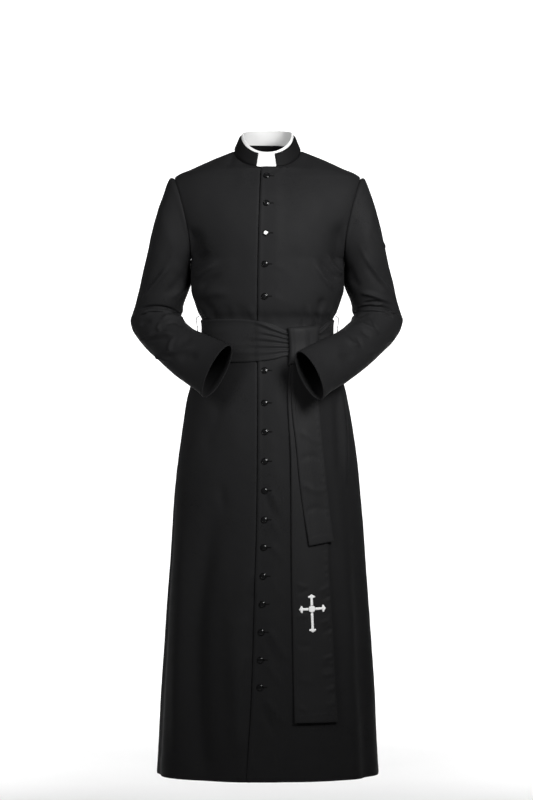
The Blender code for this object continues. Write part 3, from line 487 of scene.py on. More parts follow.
def sleeve_surface(share, angle, side):
    """Point of the sleeve: share 0 at the armhole, 1 at the cuff; angle 0 is
    the top, a quarter turn the front, half a turn the armpit side."""
    steps = np.array([row[:5] for row in SLEEVE], float)
    middle = np.stack(
        [(steps[:, 0] + steps[:, 2]) / 2, steps[:, 4], (steps[:, 1] + steps[:, 3]) / 2],
        axis=1,
    )
    # Rings are spaced by the mean of the way along the outer and inner sides.
    outer = np.stack([steps[:, 0], steps[:, 4], steps[:, 1]], axis=1)
    gone = np.concatenate(
        [
            [0],
            np.cumsum(
                np.linalg.norm(np.diff(middle, axis=0), axis=1)
                + np.linalg.norm(np.diff(outer, axis=0), axis=1)
            ),
        ]
    )
    gone /= gone[-1]
    table = [(gone[i], *SLEEVE[i]) for i in range(len(SLEEVE))]
    columns = [curve_through(table, c + 1) for c in range(6)]

    def ring(s):
        ox, oz, ix, iz, my, depth = [c(s) for c in columns]
        if side > 0:
            ox, ix, iz = ox + left_outer_x(s), ix + left_inner_x(s), iz + left_inner_z(s)
            my = my + left_middle_y(s)
        centre = np.stack([(ox + ix) / 2, my, (oz + iz) / 2], axis=-1)
        reach = np.stack([(ox - ix) / 2, 0 * my, (oz - iz) / 2], axis=-1)
        return centre, reach, depth

    centre, reach, depth = ring(share)
    behind, narrow = LEFT_CUFF if side > 0 else RIGHT_CUFF
    cuffed = smooth_step(CUFF_FROM, 1.0, share)
    depth = depth * (1 - (1 - narrow) * cuffed)
    e = 0.01
    way = unit(ring(np.clip(share + e, 0, 1))[0] - ring(np.clip(share - e, 0, 1))[0])
    across = unit(np.cross(way, unit(reach)))
    # Close to the armhole the ring is the armhole's own oval.
    near = 1 - smooth_step(0.0, 0.10, share)
    straight = np.array([0.0, -1.0, 0.0])
    across = np.where(
        (np.sum(across * straight, axis=-1) < 0)[..., None], -across, across
    )
    across = unit(across * (1 - near)[..., None] + straight * near[..., None])
    front_reach = ARMHOLE_FRONT * near + depth * (1 - near)
    back_reach = ARMHOLE_BACK * near + depth * (1 - near)
    wide = np.where(np.sin(angle) > 0, front_reach, back_reach)
    set_in = across * (wide * behind * cuffed)[..., None] * np.array([1.0, 0.0, 1.0])
    point = (
        centre
        - set_in
        + reach * np.cos(angle)[..., None]
        + across * (wide * np.sin(angle))[..., None]
    )
    # The armhole seam bows inwards between its top and bottom.
    z = ARMHOLE_MIDDLE + ARMHOLE_HALF * np.cos(angle)
    line = 0.168 + (0.2045 - 0.168) * (np.cos(angle) + 1) / 2
    point[..., 0] += (armhole_x_at(z) - line) * near
    point[..., 0] *= side
    return point


def sleeve_normal(s, a, side):
    e = 2e-3
    along = sleeve_surface(np.clip(s + e, 0, 1), a, side) - sleeve_surface(
        np.clip(s - e, 0, 1), a, side
    )
    round_ = sleeve_surface(s, a + e, side) - sleeve_surface(s, a - e, side)
    normal = unit(np.cross(round_, along))
    out = sleeve_surface(s, a, side) - sleeve_surface(s, a + math.pi, side)
    return np.where((np.sum(normal * out, axis=-1) < 0)[..., None], -normal, normal)


# -------------------------------------------------------------------- collar
COLLAR_CLOTH = 0.0020
COLLAR_GAP = 0.0010       # above the neckline
COLLAR_LEFT_END = 0.0200  # x of the collar's end on the wearer's left
COLLAR_RIGHT_END = -0.0250
COLLAR_TOP_HALF = 0.0596  # half width of the top edge
COLLAR_TOP_MIDDLE = -0.0085
COLLAR_TOP_DEPTH = 0.0535
COLLAR_TOP_FRONT_Z = -0.0070
COLLAR_TOP_SIDE_Z = 0.0374
COLLAR_TOP_BACK_Z = 0.0450
BAND_SHOWS = 0.0060       # the white band stands this far above the collar
BAND_CLOTH = 0.0014


def neck_z(angle):
    """Height of the neckline at an angle about the neck, 0 in front."""
    angle = abs((angle + math.pi) % (2 * math.pi) - math.pi)
    if angle >= math.pi / 2:
        return NECK_SIDE_Z
    return front_neck(angle)[1]


def collar_point(angle, share, inset=0.0):
    """share 0 on the neckline, 1 on the collar's top edge."""
    s, c = math.sin(angle), math.cos(angle)
    base = np.array(
        [
            NECK_HALF_WIDTH * s,
            -(NECK_FRONT if c > 0 else NECK_BACK) * c,
            neck_z(angle) + COLLAR_GAP,
        ]
    )
    base[2] += LAP_LIFT * 0.9 * (1 - float(smooth_step(LAP_FULL_X, LAP_END_X, base[0])))
    top_z = COLLAR_TOP_SIDE_Z + (
        (COLLAR_TOP_FRONT_Z if c > 0 else COLLAR_TOP_BACK_Z) - COLLAR_TOP_SIDE_Z
    ) * abs(c)
    top = np.array(
        [
            COLLAR_TOP_HALF * s,
            COLLAR_TOP_MIDDLE - COLLAR_TOP_DEPTH * c,
            top_z,
        ]
    )
    point = base + (top - base) * share
    away = np.array([s / NECK_HALF_WIDTH, -c / NECK_FRONT, 0.0])
    return point - inset * away / np.linalg.norm(away)


# ---------------------------------------------------------------------- sash
sash_top_at = curve_through(SASH, 1)
sash_bottom_at = curve_through(SASH, 2)
KNOT_LEFT, KNOT_RIGHT = 0.0433, 0.1084
KNOT_TOP, KNOT_BOTTOM = -0.3865, -0.4690
KNOT_BULGE = 0.0150


def over_lap(turn, z):
    """Height of the fronts' outer face above the plain form."""
    x = plain_body(turn, z)[..., 0]
    edge = lap_edge_at(z)
    return np.where(
        np.abs(turn) < math.pi / 2,
        lap_lift(x) * smooth_step(edge - 0.006, edge, x),
        0.0,
    )


# --------------------------------------------------------------------- cross
CROSS_X, CROSS_Z = 0.0938, -0.9930  # where the bars meet
CROSS_UP, CROSS_DOWN = 0.0330, 0.0520
CROSS_LEFT, CROSS_RIGHT = 0.0285, 0.0310
CROSS_BAR = 0.0045                 # half width of a bar
CROSS_TIP = 0.0041                 # radius of the bud at the end of a bar ...
CROSS_BUD = 0.0036                 # ... and of the two beside it,
BUD_BACK = 0.0071                  # their middles this far from the end
BUD_OUT = 0.0056                   # and this far off the bar's middle
CROSS_LEAN = math.radians(2.0)
CROSS_CLOTH = 0.0010

LOOP_RADIUS = 0.0008
LOOP_TOP, LOOP_BOTTOM = -0.3585, -0.4735


# ------------------------------------------------------- where things show
CAMERA_FAR = 7.0          # the camera stands this far in front of the origin
METRE_PER_PIXEL = 0.0022  # in the plane of the shoulders
CAMERA_X, CAMERA_Z = -0.0022, -0.5434
IMAGE_W, IMAGE_H = 533, 800


def shown_at(points):
    """Where points of the garment show in the picture, in its pixels."""
    near = CAMERA_FAR / (CAMERA_FAR + points[..., 1])
    return (
        IMAGE_W / 2 + (points[..., 0] - CAMERA_X) / METRE_PER_PIXEL * near,
        IMAGE_H / 2 - (points[..., 2] - CAMERA_Z) / METRE_PER_PIXEL * near,
    )


def path_through(points, count):
    """A smooth path through a few points (Catmull-Rom)."""
    p = np.array(points, float)
    if len(p) == 2:
        t = np.linspace(0, 1, count)[:, None]
        return p[0] + (p[1] - p[0]) * t
    p = np.vstack([2 * p[0] - p[1], p, 2 * p[-1] - p[-2]])
    spans = len(p) - 3
    at = np.linspace(0, spans, count)
    i = np.minimum(at.astype(int), spans - 1)
    t = (at - i)[:, None]
    a, b, c, d = p[i], p[i + 1], p[i + 2], p[i + 3]
    return 0.5 * (
        2 * b
        + (c - a) * t
        + (2 * a - 5 * b + 4 * c - d) * t * t
        + (3 * b - a - 3 * c + d) * t**3
    )


def crease(u, v, points, wide, high, other=None, begin=0.3, end=0.3):
    """Height of one crease over the plane (u, v): a soft ridge, or a trough if
    it is negative, along a path.  `wide` is its reach on the path's left and
    `other` on its right; it fades over the shares `begin` and `end`."""
    path = path_through(points, 4 * len(points) + 1)
    other = other or wide
    reach = 3.2 * max(wide, other)
    flat_u, flat_v = u.ravel(), v.ravel()
    inside = np.nonzero(
        (flat_u > path[:, 0].min() - reach)
        & (flat_u < path[:, 0].max() + reach)
        & (flat_v > path[:, 1].min() - reach)
        & (flat_v < path[:, 1].max() + reach)
    )[0]
    out = np.zeros(flat_u.shape)
    if not len(inside):
        return out.reshape(u.shape)
    q = np.stack([flat_u[inside], flat_v[inside]], axis=1)
    step = np.diff(path, axis=0)
    size = np.maximum((step**2).sum(1), 1e-12)
    gone = np.concatenate([[0], np.cumsum(np.sqrt(size))])
    best = np.full(len(q), 1e9)
    along = np.zeros(len(q))
    side = np.zeros(len(q))
    for k in range(len(step)):
        off = q - path[k]
        t = np.clip((off @ step[k]) / size[k], 0, 1)
        gap = off - t[:, None] * step[k]
        d = np.sqrt((gap**2).sum(1))
        nearer = d < best
        best = np.where(nearer, d, best)
        along = np.where(
            nearer, (gone[k] + t * math.sqrt(size[k])) / gone[-1], along
        )
        turned = step[k][0] * off[:, 1] - step[k][1] * off[:, 0]
        side = np.where(nearer, turned, side)
    width = np.where(side > 0, wide, other)
    fade = np.ones(len(q))
    if begin:
        fade = fade * smooth_step(0, begin, along)
    if end:
        fade = fade * smooth_step(0, end, 1 - along)
    # Beyond an end that doesn't fade, the round tip of the gaussian is left.
    out[inside] = high * fade * np.exp(-((best / width) ** 2))
    return out.reshape(u.shape)


def creases(u, v, table):
    total = np.zeros(u.shape)
    for row in table:
        total += crease(u, v, **row)
    return total


def wobble(u, v, size, seed):
    """Smooth unevenness, about -1 to 1, with features of `size`."""
    rng = np.random.default_rng(seed)
    total = np.zeros(np.broadcast(u, v).shape)
    for _ in range(9):
        turn, phase = rng.uniform(0, 2 * math.pi, 2)
        rate = 2 * math.pi / size * rng.uniform(0.55, 1.3)
        total += np.sin((u * math.cos(turn) + v * math.sin(turn)) * rate + phase)
    return total / 4.0


def row(points, wide, high, other=None, begin=0.3, end=0.3):
    return dict(
        points=points, wide=wide, high=high / 1000, other=other, begin=begin, end=end
    )


# ------------------------------------------------------------ mesh making
def new_mesh(name, points, faces, uv=None, smooth=True, ride="root"):
    """A mesh object from arrays of points and faces, with its weave's UVs."""
    mesh = bpy.data.meshes.new(name)
    mesh.from_pydata(
        np.asarray(points, float).tolist(), [], [list(map(int, f)) for f in faces]
    )
    if uv is not None:
        layer = mesh.uv_layers.new(name="weave")
        loops = np.empty(len(mesh.loops), np.int32)
        mesh.loops.foreach_get("vertex_index", loops)
        layer.data.foreach_set("uv", np.asarray(uv, np.float32)[loops].ravel())
    mesh.update()
    if smooth:
        mesh.shade_smooth()
    thing = bpy.data.objects.new(name, mesh)
    bpy.context.scene.collection.objects.link(thing)
    if ride:
        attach(thing, ride)
    return thing


def grid_faces(rows, columns, wrap=False):
    width = columns if wrap else columns + 1
    i, j = np.meshgrid(np.arange(rows), np.arange(columns), indexing="ij")
    k = (j + 1) % width
    return np.stack(
        [i * width + j, i * width + k, (i + 1) * width + k, (i + 1) * width + j],
        axis=-1,
    ).reshape(-1, 4)


def closed_wall(name, outer, inner, faces, uv, crisp=True):
    """A closed shell from a sheet's outer and inner points: both sides and the
    cut edges between them."""
    outer, inner = outer.reshape(-1, 3), inner.reshape(-1, 3)
    uv = uv.reshape(-1, 2)
    count = len(outer)
    edges = np.concatenate(
        [faces[:, [0, 1]], faces[:, [1, 2]], faces[:, [2, 3]], faces[:, [3, 0]]]
    )
    key = np.sort(edges, axis=1)
    _, first, index, uses = np.unique(
        key, axis=0, return_index=True, return_inverse=True, return_counts=True
    )
    rim = edges[first[uses == 1]]
    rim_faces = np.stack(
        [rim[:, 1], rim[:, 0], rim[:, 0] + count, rim[:, 1] + count], axis=1
    )
    # Face the outer side outwards.
    a, b, c = outer[faces[:, 0]], outer[faces[:, 1]], outer[faces[:, 2]]
    way = np.einsum(
        "ij,ij->i",
        np.cross(b - a, c - a),
        outer[faces[:, 0]] - inner[faces[:, 0]],
    ).sum()
    sheet = np.concatenate([faces, faces[:, ::-1] + count, rim_faces])
    if way < 0:
        sheet = sheet[:, ::-1]
    thing = new_mesh(
        name,
        np.concatenate([outer, inner]),
        sheet,
        uv=np.concatenate([uv, uv]),
    )
    if crisp:
        # The cut edge stays crisp between its smooth sides.
        mesh = thing.data
        wanted = np.zeros(len(mesh.edges), bool)
        pairs = np.empty(len(mesh.edges) * 2, np.int32)
        mesh.edges.foreach_get("vertices", pairs)
        pairs = np.sort(pairs.reshape(-1, 2), axis=1).astype(np.int64)
        total = 2 * count
        codes = pairs[:, 0] * total + pairs[:, 1]
        rim_pairs = np.sort(rim, axis=1).astype(np.int64)
        rim_codes = np.concatenate(
            [
                rim_pairs[:, 0] * total + rim_pairs[:, 1],
                (rim_pairs[:, 0] + count) * total + rim_pairs[:, 1] + count,
            ]
        )
        wanted = np.isin(codes, rim_codes)
        sharp = mesh.attributes.new("sharp_edge", "BOOLEAN", "EDGE")
        sharp.data.foreach_set("value", wanted)
    return thing


def run_lengths(outer, wrap=False):
    """UVs in metres: the way along each row and up the middle column."""
    across = np.linalg.norm(np.diff(outer, axis=1), axis=-1)
    u = np.concatenate([np.zeros((outer.shape[0], 1)), np.cumsum(across, axis=1)], 1)
    middle = outer.shape[1] // 2
    u = u - u[:, middle : middle + 1]
    up = np.linalg.norm(np.diff(outer[:, middle], axis=0), axis=-1)
    v = np.concatenate([[0], np.cumsum(up)])[:, None] + 0 * u
    return np.stack([u, v], axis=-1)


def grid_wall(name, outer, inner, wrap=False, uv=None):
    rows, columns = outer.shape[0] - 1, outer.shape[1] - (0 if wrap else 1)
    if uv is None:
        uv = run_lengths(outer)
    return closed_wall(name, outer, inner, grid_faces(rows, columns, wrap), uv)


def edge_roll(distance, deep=0.0010, wide=0.0022):
    """How far a sewn edge dips in towards its seam."""
    return -deep * np.exp(-((distance / wide) ** 2))


# -------------------------------------------------------------- materials
def nodes_of(name):
    made = bpy.data.materials.new(name)
    made.use_nodes = True
    tree = made.node_tree
    return made, tree, tree.nodes["Principled BSDF"]


def link(tree, a, b):
    tree.links.new(a, b)


def add(tree, kind, **settings):
    node = tree.nodes.new(kind)
    for key, value in settings.items():
        if key.startswith("in_"):
            node.inputs[key[3:].replace("_", " ")].default_value = value
        else:
            setattr(node, key, value)
    return node


def ramp(tree, source, low, high, stops=(0.0, 1.0)):
    node = add(tree, "ShaderNodeValToRGB")
    node.color_ramp.elements[0].position = stops[0]
    node.color_ramp.elements[1].position = stops[1]
    node.color_ramp.elements[0].color = (*low, 1) if len(low) == 3 else low
    node.color_ramp.elements[1].color = (*high, 1) if len(high) == 3 else high
    link(tree, source, node.inputs["Fac"])
    return node


def cloth_material(
    name,
    dark,
    light,
    rough=(0.62, 0.80),
    sheen=0.0,
    sheen_rough=0.45,
    specular=0.045,
    thread=0.00075,
    weave_bump=0.10,
    slub_bump=0.05,
    tint=(1.0, 1.0, 1.0),
    grain=1.1,
):
    """Fine twill: diagonal ribs crossed by the threads, faint slubs, and a
    broad unevenness of tone as in pressed wool."""
    made, tree, shader = nodes_of(name)
    where = add(tree, "ShaderNodeTexCoord")
    weave = add(tree, "ShaderNodeUVMap", uv_map="weave")
    twill = add(tree, "ShaderNodeMapping")
    twill.inputs["Rotation"].default_value = (0, 0, math.radians(63))
    twill.inputs["Scale"].default_value = (1 / thread,) * 3
    link(tree, weave.outputs["UV"], twill.inputs["Vector"])
    ribs = add(
        tree,
        "ShaderNodeTexWave",
        wave_type="BANDS",
        bands_direction="X",
        wave_profile="SIN",
    )
    ribs.inputs["Scale"].default_value = 1 / (2 * math.pi) * 2
    ribs.inputs["Distortion"].default_value = 0.6
    ribs.inputs["Detail"].default_value = 1.0
    link(tree, twill.outputs["Vector"], ribs.inputs["Vector"])
    yarn = add(tree, "ShaderNodeMapping")
    yarn.inputs["Scale"].default_value = (0.45 / thread, 0.05 / thread, 1)
    link(tree, weave.outputs["UV"], yarn.inputs["Vector"])
    slub = add(tree, "ShaderNodeTexNoise")
    slub.inputs["Scale"].default_value = 1.0
    slub.inputs["Detail"].default_value = 2.0
    link(tree, yarn.outputs["Vector"], slub.inputs["Vector"])
    tone = add(tree, "ShaderNodeTexNoise")
    tone.inputs["Scale"].default_value = 9.0
    tone.inputs["Detail"].default_value = 3.0
    tone.inputs["Roughness"].default_value = 0.55
    link(tree, where.outputs["Object"], tone.inputs["Vector"])
    # Colour: the ribs are a little lighter than the ground between them.
    mixed = add(tree, "ShaderNodeMath", operation="MULTIPLY_ADD")
    link(tree, ribs.outputs["Fac"], mixed.inputs[0])
    mixed.inputs[1].default_value = 0.30
    link(tree, tone.outputs["Fac"], mixed.inputs[2])
    shade = add(tree, "ShaderNodeMath", operation="MULTIPLY_ADD")
    link(tree, slub.outputs["Fac"], shade.inputs[0])
    shade.inputs[1].default_value = 0.25
    link(tree, mixed.outputs[0], shade.inputs[2])
    # Specks where the yarn's ends catch the light.
    speck = add(tree, "ShaderNodeTexNoise")
    speck.inputs["Scale"].default_value = 420.0
    speck.inputs["Detail"].default_value = 1.0
    link(tree, where.outputs["Object"], speck.inputs["Vector"])
    flecked = add(tree, "ShaderNodeMath", operation="MULTIPLY_ADD")
    link(tree, speck.outputs["Fac"], flecked.inputs[0])
    flecked.inputs[1].default_value = grain
    link(tree, shade.outputs[0], flecked.inputs[2])
    shade = flecked
    colour = ramp(
        tree, shade.outputs[0], dark, light, (0.35 + grain / 2, 1.05 + grain / 2)
    )
    link(tree, colour.outputs["Color"], shader.inputs["Base Color"])
    gloss = ramp(
        tree,
        shade.outputs[0],
        (rough[1],) * 3,
        (rough[0],) * 3,
        (0.35 + grain / 2, 1.05 + grain / 2),
    )
    link(tree, gloss.outputs["Color"], shader.inputs["Roughness"])
    first = add(tree, "ShaderNodeBump")
    first.inputs["Strength"].default_value = weave_bump
    first.inputs["Distance"].default_value = thread * 0.35
    link(tree, ribs.outputs["Fac"], first.inputs["Height"])
    second = add(tree, "ShaderNodeBump")
    second.inputs["Strength"].default_value = slub_bump
    second.inputs["Distance"].default_value = 0.0004
    link(tree, slub.outputs["Fac"], second.inputs["Height"])
    link(tree, first.outputs["Normal"], second.inputs["Normal"])
    link(tree, second.outputs["Normal"], shader.inputs["Normal"])
    shader.inputs["Specular IOR Level"].default_value = specular
    shader.inputs["Sheen Weight"].default_value = sheen
    shader.inputs["Sheen Roughness"].default_value = sheen_rough
    shader.inputs["Sheen Tint"].default_value = (*tint, 1)
    return made


def gloss_material(name, dark, light, rough, edge, shaded_rim_from, specular=0.35):
    """Moulded plastic: a deep colour with faint polish marks."""
    made, tree, shader = nodes_of(name)
    where = add(tree, "ShaderNodeTexCoord")
    marks = add(tree, "ShaderNodeTexNoise")
    marks.inputs["Scale"].default_value = 420.0
    marks.inputs["Detail"].default_value = 3.0
    link(tree, where.outputs["Object"], marks.inputs["Vector"])
    colour = ramp(tree, marks.outputs["Fac"], dark, light, (0.3, 0.8))
    # The face is one tone and the turned rim round it another, darker one: partly the rim's own colour, partly
    # painted shade where the edge turns away.
    face = add(tree, "ShaderNodeUVMap", uv_map="weave")
    gone = add(tree, "ShaderNodeVectorMath", operation="LENGTH")
    link(tree, face.outputs["UV"], gone.inputs[0])
    rim_shade_mask = ramp(
        tree, gone.outputs["Value"], (0, 0, 0), (1, 1, 1), (shaded_rim_from, shaded_rim_from + 0.06)
    )
    mixed = add(tree, "ShaderNodeMix", data_type="RGBA")
    link(tree, rim_shade_mask.outputs["Color"], mixed.inputs["Factor"])
    link(tree, colour.outputs["Color"], mixed.inputs[6])
    mixed.inputs[7].default_value = (*edge, 1)
    link(tree, mixed.outputs[2], shader.inputs["Base Color"])
    gloss = ramp(
        tree, marks.outputs["Fac"], (rough * 0.8,) * 3, (rough * 1.3,) * 3, (0.3, 0.8)
    )
    link(tree, gloss.outputs["Color"], shader.inputs["Roughness"])
    bump = add(tree, "ShaderNodeBump")
    bump.inputs["Strength"].default_value = 0.04
    bump.inputs["Distance"].default_value = 0.0002
    link(tree, marks.outputs["Fac"], bump.inputs["Height"])
    link(tree, bump.outputs["Normal"], shader.inputs["Normal"])
    shader.inputs["Specular IOR Level"].default_value = specular
    return made


WOOL = cloth_material("black_wool", (0.0058, 0.0058, 0.0061), (0.0128, 0.0128, 0.0133))
SASH_WOOL = cloth_material(
    "sash_wool",
    (0.0065, 0.0065, 0.0068),
    (0.0144, 0.0144, 0.0149),
    rough=(0.55, 0.70),
    specular=0.06,
)
COLLAR_WOOL = cloth_material(
    "collar_wool", (0.0036, 0.0036, 0.0038), (0.0074, 0.0074, 0.0077)
)
WHITE_BAND = cloth_material(
    "white_band",
    (0.57, 0.57, 0.565),
    (0.67, 0.67, 0.665),
    rough=(0.45, 0.60),
    thread=0.0005,
    weave_bump=0.08,
)
THREAD_BLACK = cloth_material(
    "black_thread", (0.010, 0.010, 0.010), (0.026, 0.026, 0.027), thread=0.0004
)
THREAD_DARK = cloth_material(
    "buttonhole_thread", (0.002, 0.002, 0.002), (0.005, 0.005, 0.005), thread=0.0004
)
WHITE_THREAD = cloth_material(
    "white_thread",
    (0.66, 0.66, 0.655),
    (0.90, 0.90, 0.895),
    rough=(0.35, 0.55),
    specular=0.3,
    thread=0.0006,
    weave_bump=0.5,
)
EDGE_THREAD = cloth_material(
    "cross_edge_thread", (0.006, 0.006, 0.006), (0.016, 0.016, 0.016), thread=0.0005
)
# Buttons: the near-black colour given for the rim is partly its own and partly painted edge shade.
BUTTON_BLACK = gloss_material(
    "button_black",
    (0.0040, 0.0040, 0.0043),
    (0.0080, 0.0080, 0.0084),
    0.16,
    (0.002, 0.002, 0.002),
    0.74,
)
BUTTON_PALE = gloss_material(
    "button_pale",
    (0.66, 0.66, 0.65),
    (0.80, 0.80, 0.79),
    0.22,
    (0.006, 0.006, 0.006),
    0.56,
)


def dress(thing, material, slot, *nodes):
    thing.data.materials.append(material)
    if nodes:
        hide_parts(*nodes)
    return thing


# ------------------------------------------------- creases of the cloth
# Paths are in the picture's pixels (2.2 mm each), widths too, heights in
# millimetres: what shows in front.
BODY_CREASES = [
    # the pull of the collar and of the top button
    row([(232, 153), (230.5, 160), (226, 170)], 3.0, -1.6, 4.5, 0.2, 0.6),
    row([(240, 164), (243, 178), (243, 196)], 6.0, 0.9, 6.0, 0.3, 0.6),
    row([(284, 167.5), (276, 171.5), (267, 173)], 1.6, -1.0, 1.2, 0.3, 0.3),
    row([(290, 165), (280, 170.5), (270, 175)], 1.8, 0.7, 1.8, 0.3, 0.4),
    row([(303, 156), (306, 166), (312, 176)], 3.5, -1.0, 5.0, 0.2, 0.6),
    # hollows before the armpits, and the ridges that leave them
    row([(190, 226), (193, 244), (196, 264)], 3.0, -4.4, 8.5, 0.35, 0.3),
    row([(194, 262), (202, 258), (210, 250)], 3.0, -2.0, 3.2, 0.35, 0.45),
    row([(193, 279), (206, 270), (222, 260)], 2.6, 3.2, 3.2, 0.2, 0.45),
    row([(198, 289), (209, 280.5), (224, 272)], 3.0, -2.3, 3.6, 0.3, 0.5),
    row([(202, 298), (215, 293), (234, 295)], 3.6, 1.8, 5.0, 0.3, 0.5),
    row([(343, 218), (341, 240), (339, 258), (338, 274)], 9.0, -4.6, 3.0, 0.35, 0.3),
    row([(326, 253), (334, 265), (343, 276)], 1.5, 2.8, 1.8, 0.35, 0.2),
    row([(317, 256), (327, 269), (340, 282)], 2.6, -2.6, 2.8, 0.4, 0.25),
    row([(313, 260), (323, 277), (335, 292)], 1.7, 2.3, 2.2, 0.45, 0.25),
    row([(325, 297), (321, 304), (322, 312)], 3.0, -2.4, 3.6, 0.4, 0.4),
    # the blousing above the sash
    row([(197, 297), (205, 305), (215, 314)], 3.6, -2.2, 4.4, 0.3, 0.35),
    row([(204, 313.5), (208, 316.5), (213, 321.5)], 1.6, 1.7, 2.2, 0.3, 0.1),
    row([(213, 309), (215, 315), (216, 322)], 2.0, -1.4, 2.4, 0.4, 0.05),
    row([(224, 303), (228, 312), (229, 322)], 4.5, -0.9, 4.0, 0.4, 0.05),
    row([(236, 302), (240, 312), (241, 323)], 5.0, -0.9, 5.0, 0.5, 0.05),
    row([(247, 303), (252, 313), (257.5, 323)], 3.2, 1.3, 3.6, 0.5, 0.05),
    row([(272, 306), (276, 316), (279, 327)], 3.6, -0.7, 4.6, 0.5, 0.05),
    row([(303.5, 303), (303.8, 312), (303.5, 327)], 2.4, -1.1, 2.2, 0.5, 0.05),
    row([(309, 303), (310, 313), (311, 327)], 2.4, 1.5, 2.2, 0.45, 0.05),
    row([(315.5, 311), (316.5, 318), (317.5, 327)], 1.8, -1.7, 1.8, 0.4, 0.05),
    row([(323, 308), (321, 315), (319.5, 325)], 1.8, 1.4, 2.0, 0.4, 0.05),
    row([(327, 317), (330, 313), (333.5, 304)], 2.0, 1.2, 2.0, 0.3, 0.4),
    row([(293, 308), (295, 317), (296, 327)], 3.4, -0.6, 3.4, 0.5, 0.05),
    # the chest's easy roundness
    row([(226, 186), (224, 210), (222, 238)], 13.0, 1.3, 12.0, 0.4, 0.5),
    row([(315, 186), (316, 208), (314, 236)], 12.0, 1.3, 13.0, 0.4, 0.5),
    row([(246, 240), (240, 262), (244, 284)], 8.0, -0.8, 9.0, 0.4, 0.5),
    row([(290, 240), (294, 262), (292, 286)], 8.0, -0.9, 9.0, 0.4, 0.5),
    # short pulls from each button across the lap
    row([(272, 205), (279, 207), (290, 212)], 2.4, 0.4, 2.4, 0.2, 0.6),
    row([(272, 265), (279, 267), (288, 273)], 2.4, 0.4, 2.4, 0.2, 0.6),
    row([(272, 297), (279, 299), (288, 304)], 2.2, 0.4, 2.4, 0.2, 0.6),
    row([(268, 487), (275, 500), (286, 523)], 3.6, 0.9, 3.2, 0.2, 0.45),
    row([(264, 483), (267, 500), (276, 522)], 2.8, -0.7, 3.0, 0.2, 0.5),
    row([(270, 544), (276, 551), (286, 566)], 3.2, 0.6, 3.0, 0.25, 0.5),
    row([(268, 516), (276, 528), (284, 545)], 3.2, 0.6, 3.0, 0.3, 0.5),
    row([(269, 575), (276, 588), (285, 606)], 3.0, 0.5, 3.0, 0.3, 0.5),
    row([(268, 628), (277, 643), (289, 664)], 3.6, 0.9, 3.2, 0.2, 0.4),
    row([(266, 636), (270, 650), (280, 668)], 2.6, -0.7, 2.8, 0.3, 0.5),
    row([(265, 660), (274, 674), (286, 690)], 3.2, 0.6, 3.0, 0.3, 0.5),
    row([(264, 697), (275, 712), (290, 732)], 3.8, 1.0, 3.4, 0.2, 0.4),
    row([(262, 703), (268, 722), (279, 742)], 3.0, -0.8, 3.0, 0.3, 0.5),
    # towards the lap's edge from the right front
    row([(230, 607), (241, 592), (255, 570)], 4.5, 0.9, 5.0, 0.5, 0.15),
    row([(238, 628), (246, 612), (255, 592)], 4.0, -1.0, 4.5, 0.5, 0.15),
    row([(232, 690), (243, 668), (251, 648)], 5.0, 0.8, 5.0, 0.5, 0.3),
    row([(251, 560), (251, 610), (247, 668), (243, 760)], 4.0, -1.6, 5.5, 0.4, 0.2),
    # long soft folds of the skirt
    row([(218, 472), (209, 530), (199, 610), (196, 690), (204, 776)], 10.0, -2.6, 9.0, 0.3, 0.05),
    row([(219, 476), (221, 492), (223, 520)], 4.0, -1.4, 5.0, 0.4, 0.5),
    row([(226, 540), (232, 640), (240, 760)], 8.0, 2.0, 9.0, 0.5, 0.1),
    row([(190, 470), (183, 560), (179, 660), (176, 776)], 7.0, 1.6, 7.0, 0.4, 0.1),
    row([(205, 410), (207, 440), (212, 470)], 6.0, -0.9, 7.0, 0.4, 0.5),
    row([(234, 400), (236, 440), (234, 486)], 8.0, 0.9, 8.0, 0.4, 0.5),
    row([(219, 398), (216, 420), (208, 446)], 5.0, -0.9, 6.0, 0.3, 0.6),
    row([(341, 388), (344.5, 435), (347, 500)], 2.4, 2.4, 2.8, 0.08, 0.45),
    row([(346, 490), (351, 571), (354, 690)], 4.5, 1.7, 5.0, 0.4, 0.4),
    row([(336, 392), (338, 440), (340, 500)], 3.4, -1.3, 2.8, 0.15, 0.5),
    row([(188.5, 388), (187, 402), (184, 424)], 1.8, 1.2, 2.0, 0.1, 0.6),
    row([(330, 560), (338, 640), (343, 730)], 6.0, -1.2, 6.0, 0.4, 0.4),
    row([(360, 560), (364, 640), (368, 740)], 4.0, -1.0, 4.0, 0.4, 0.3),
    row([(276, 400), (277, 440), (280, 480)], 4.0, -0.5, 4.5, 0.4, 0.5),
    row([(170, 600), (168, 680), (166, 760)], 4.0, -1.2, 5.0, 0.5, 0.2),
]

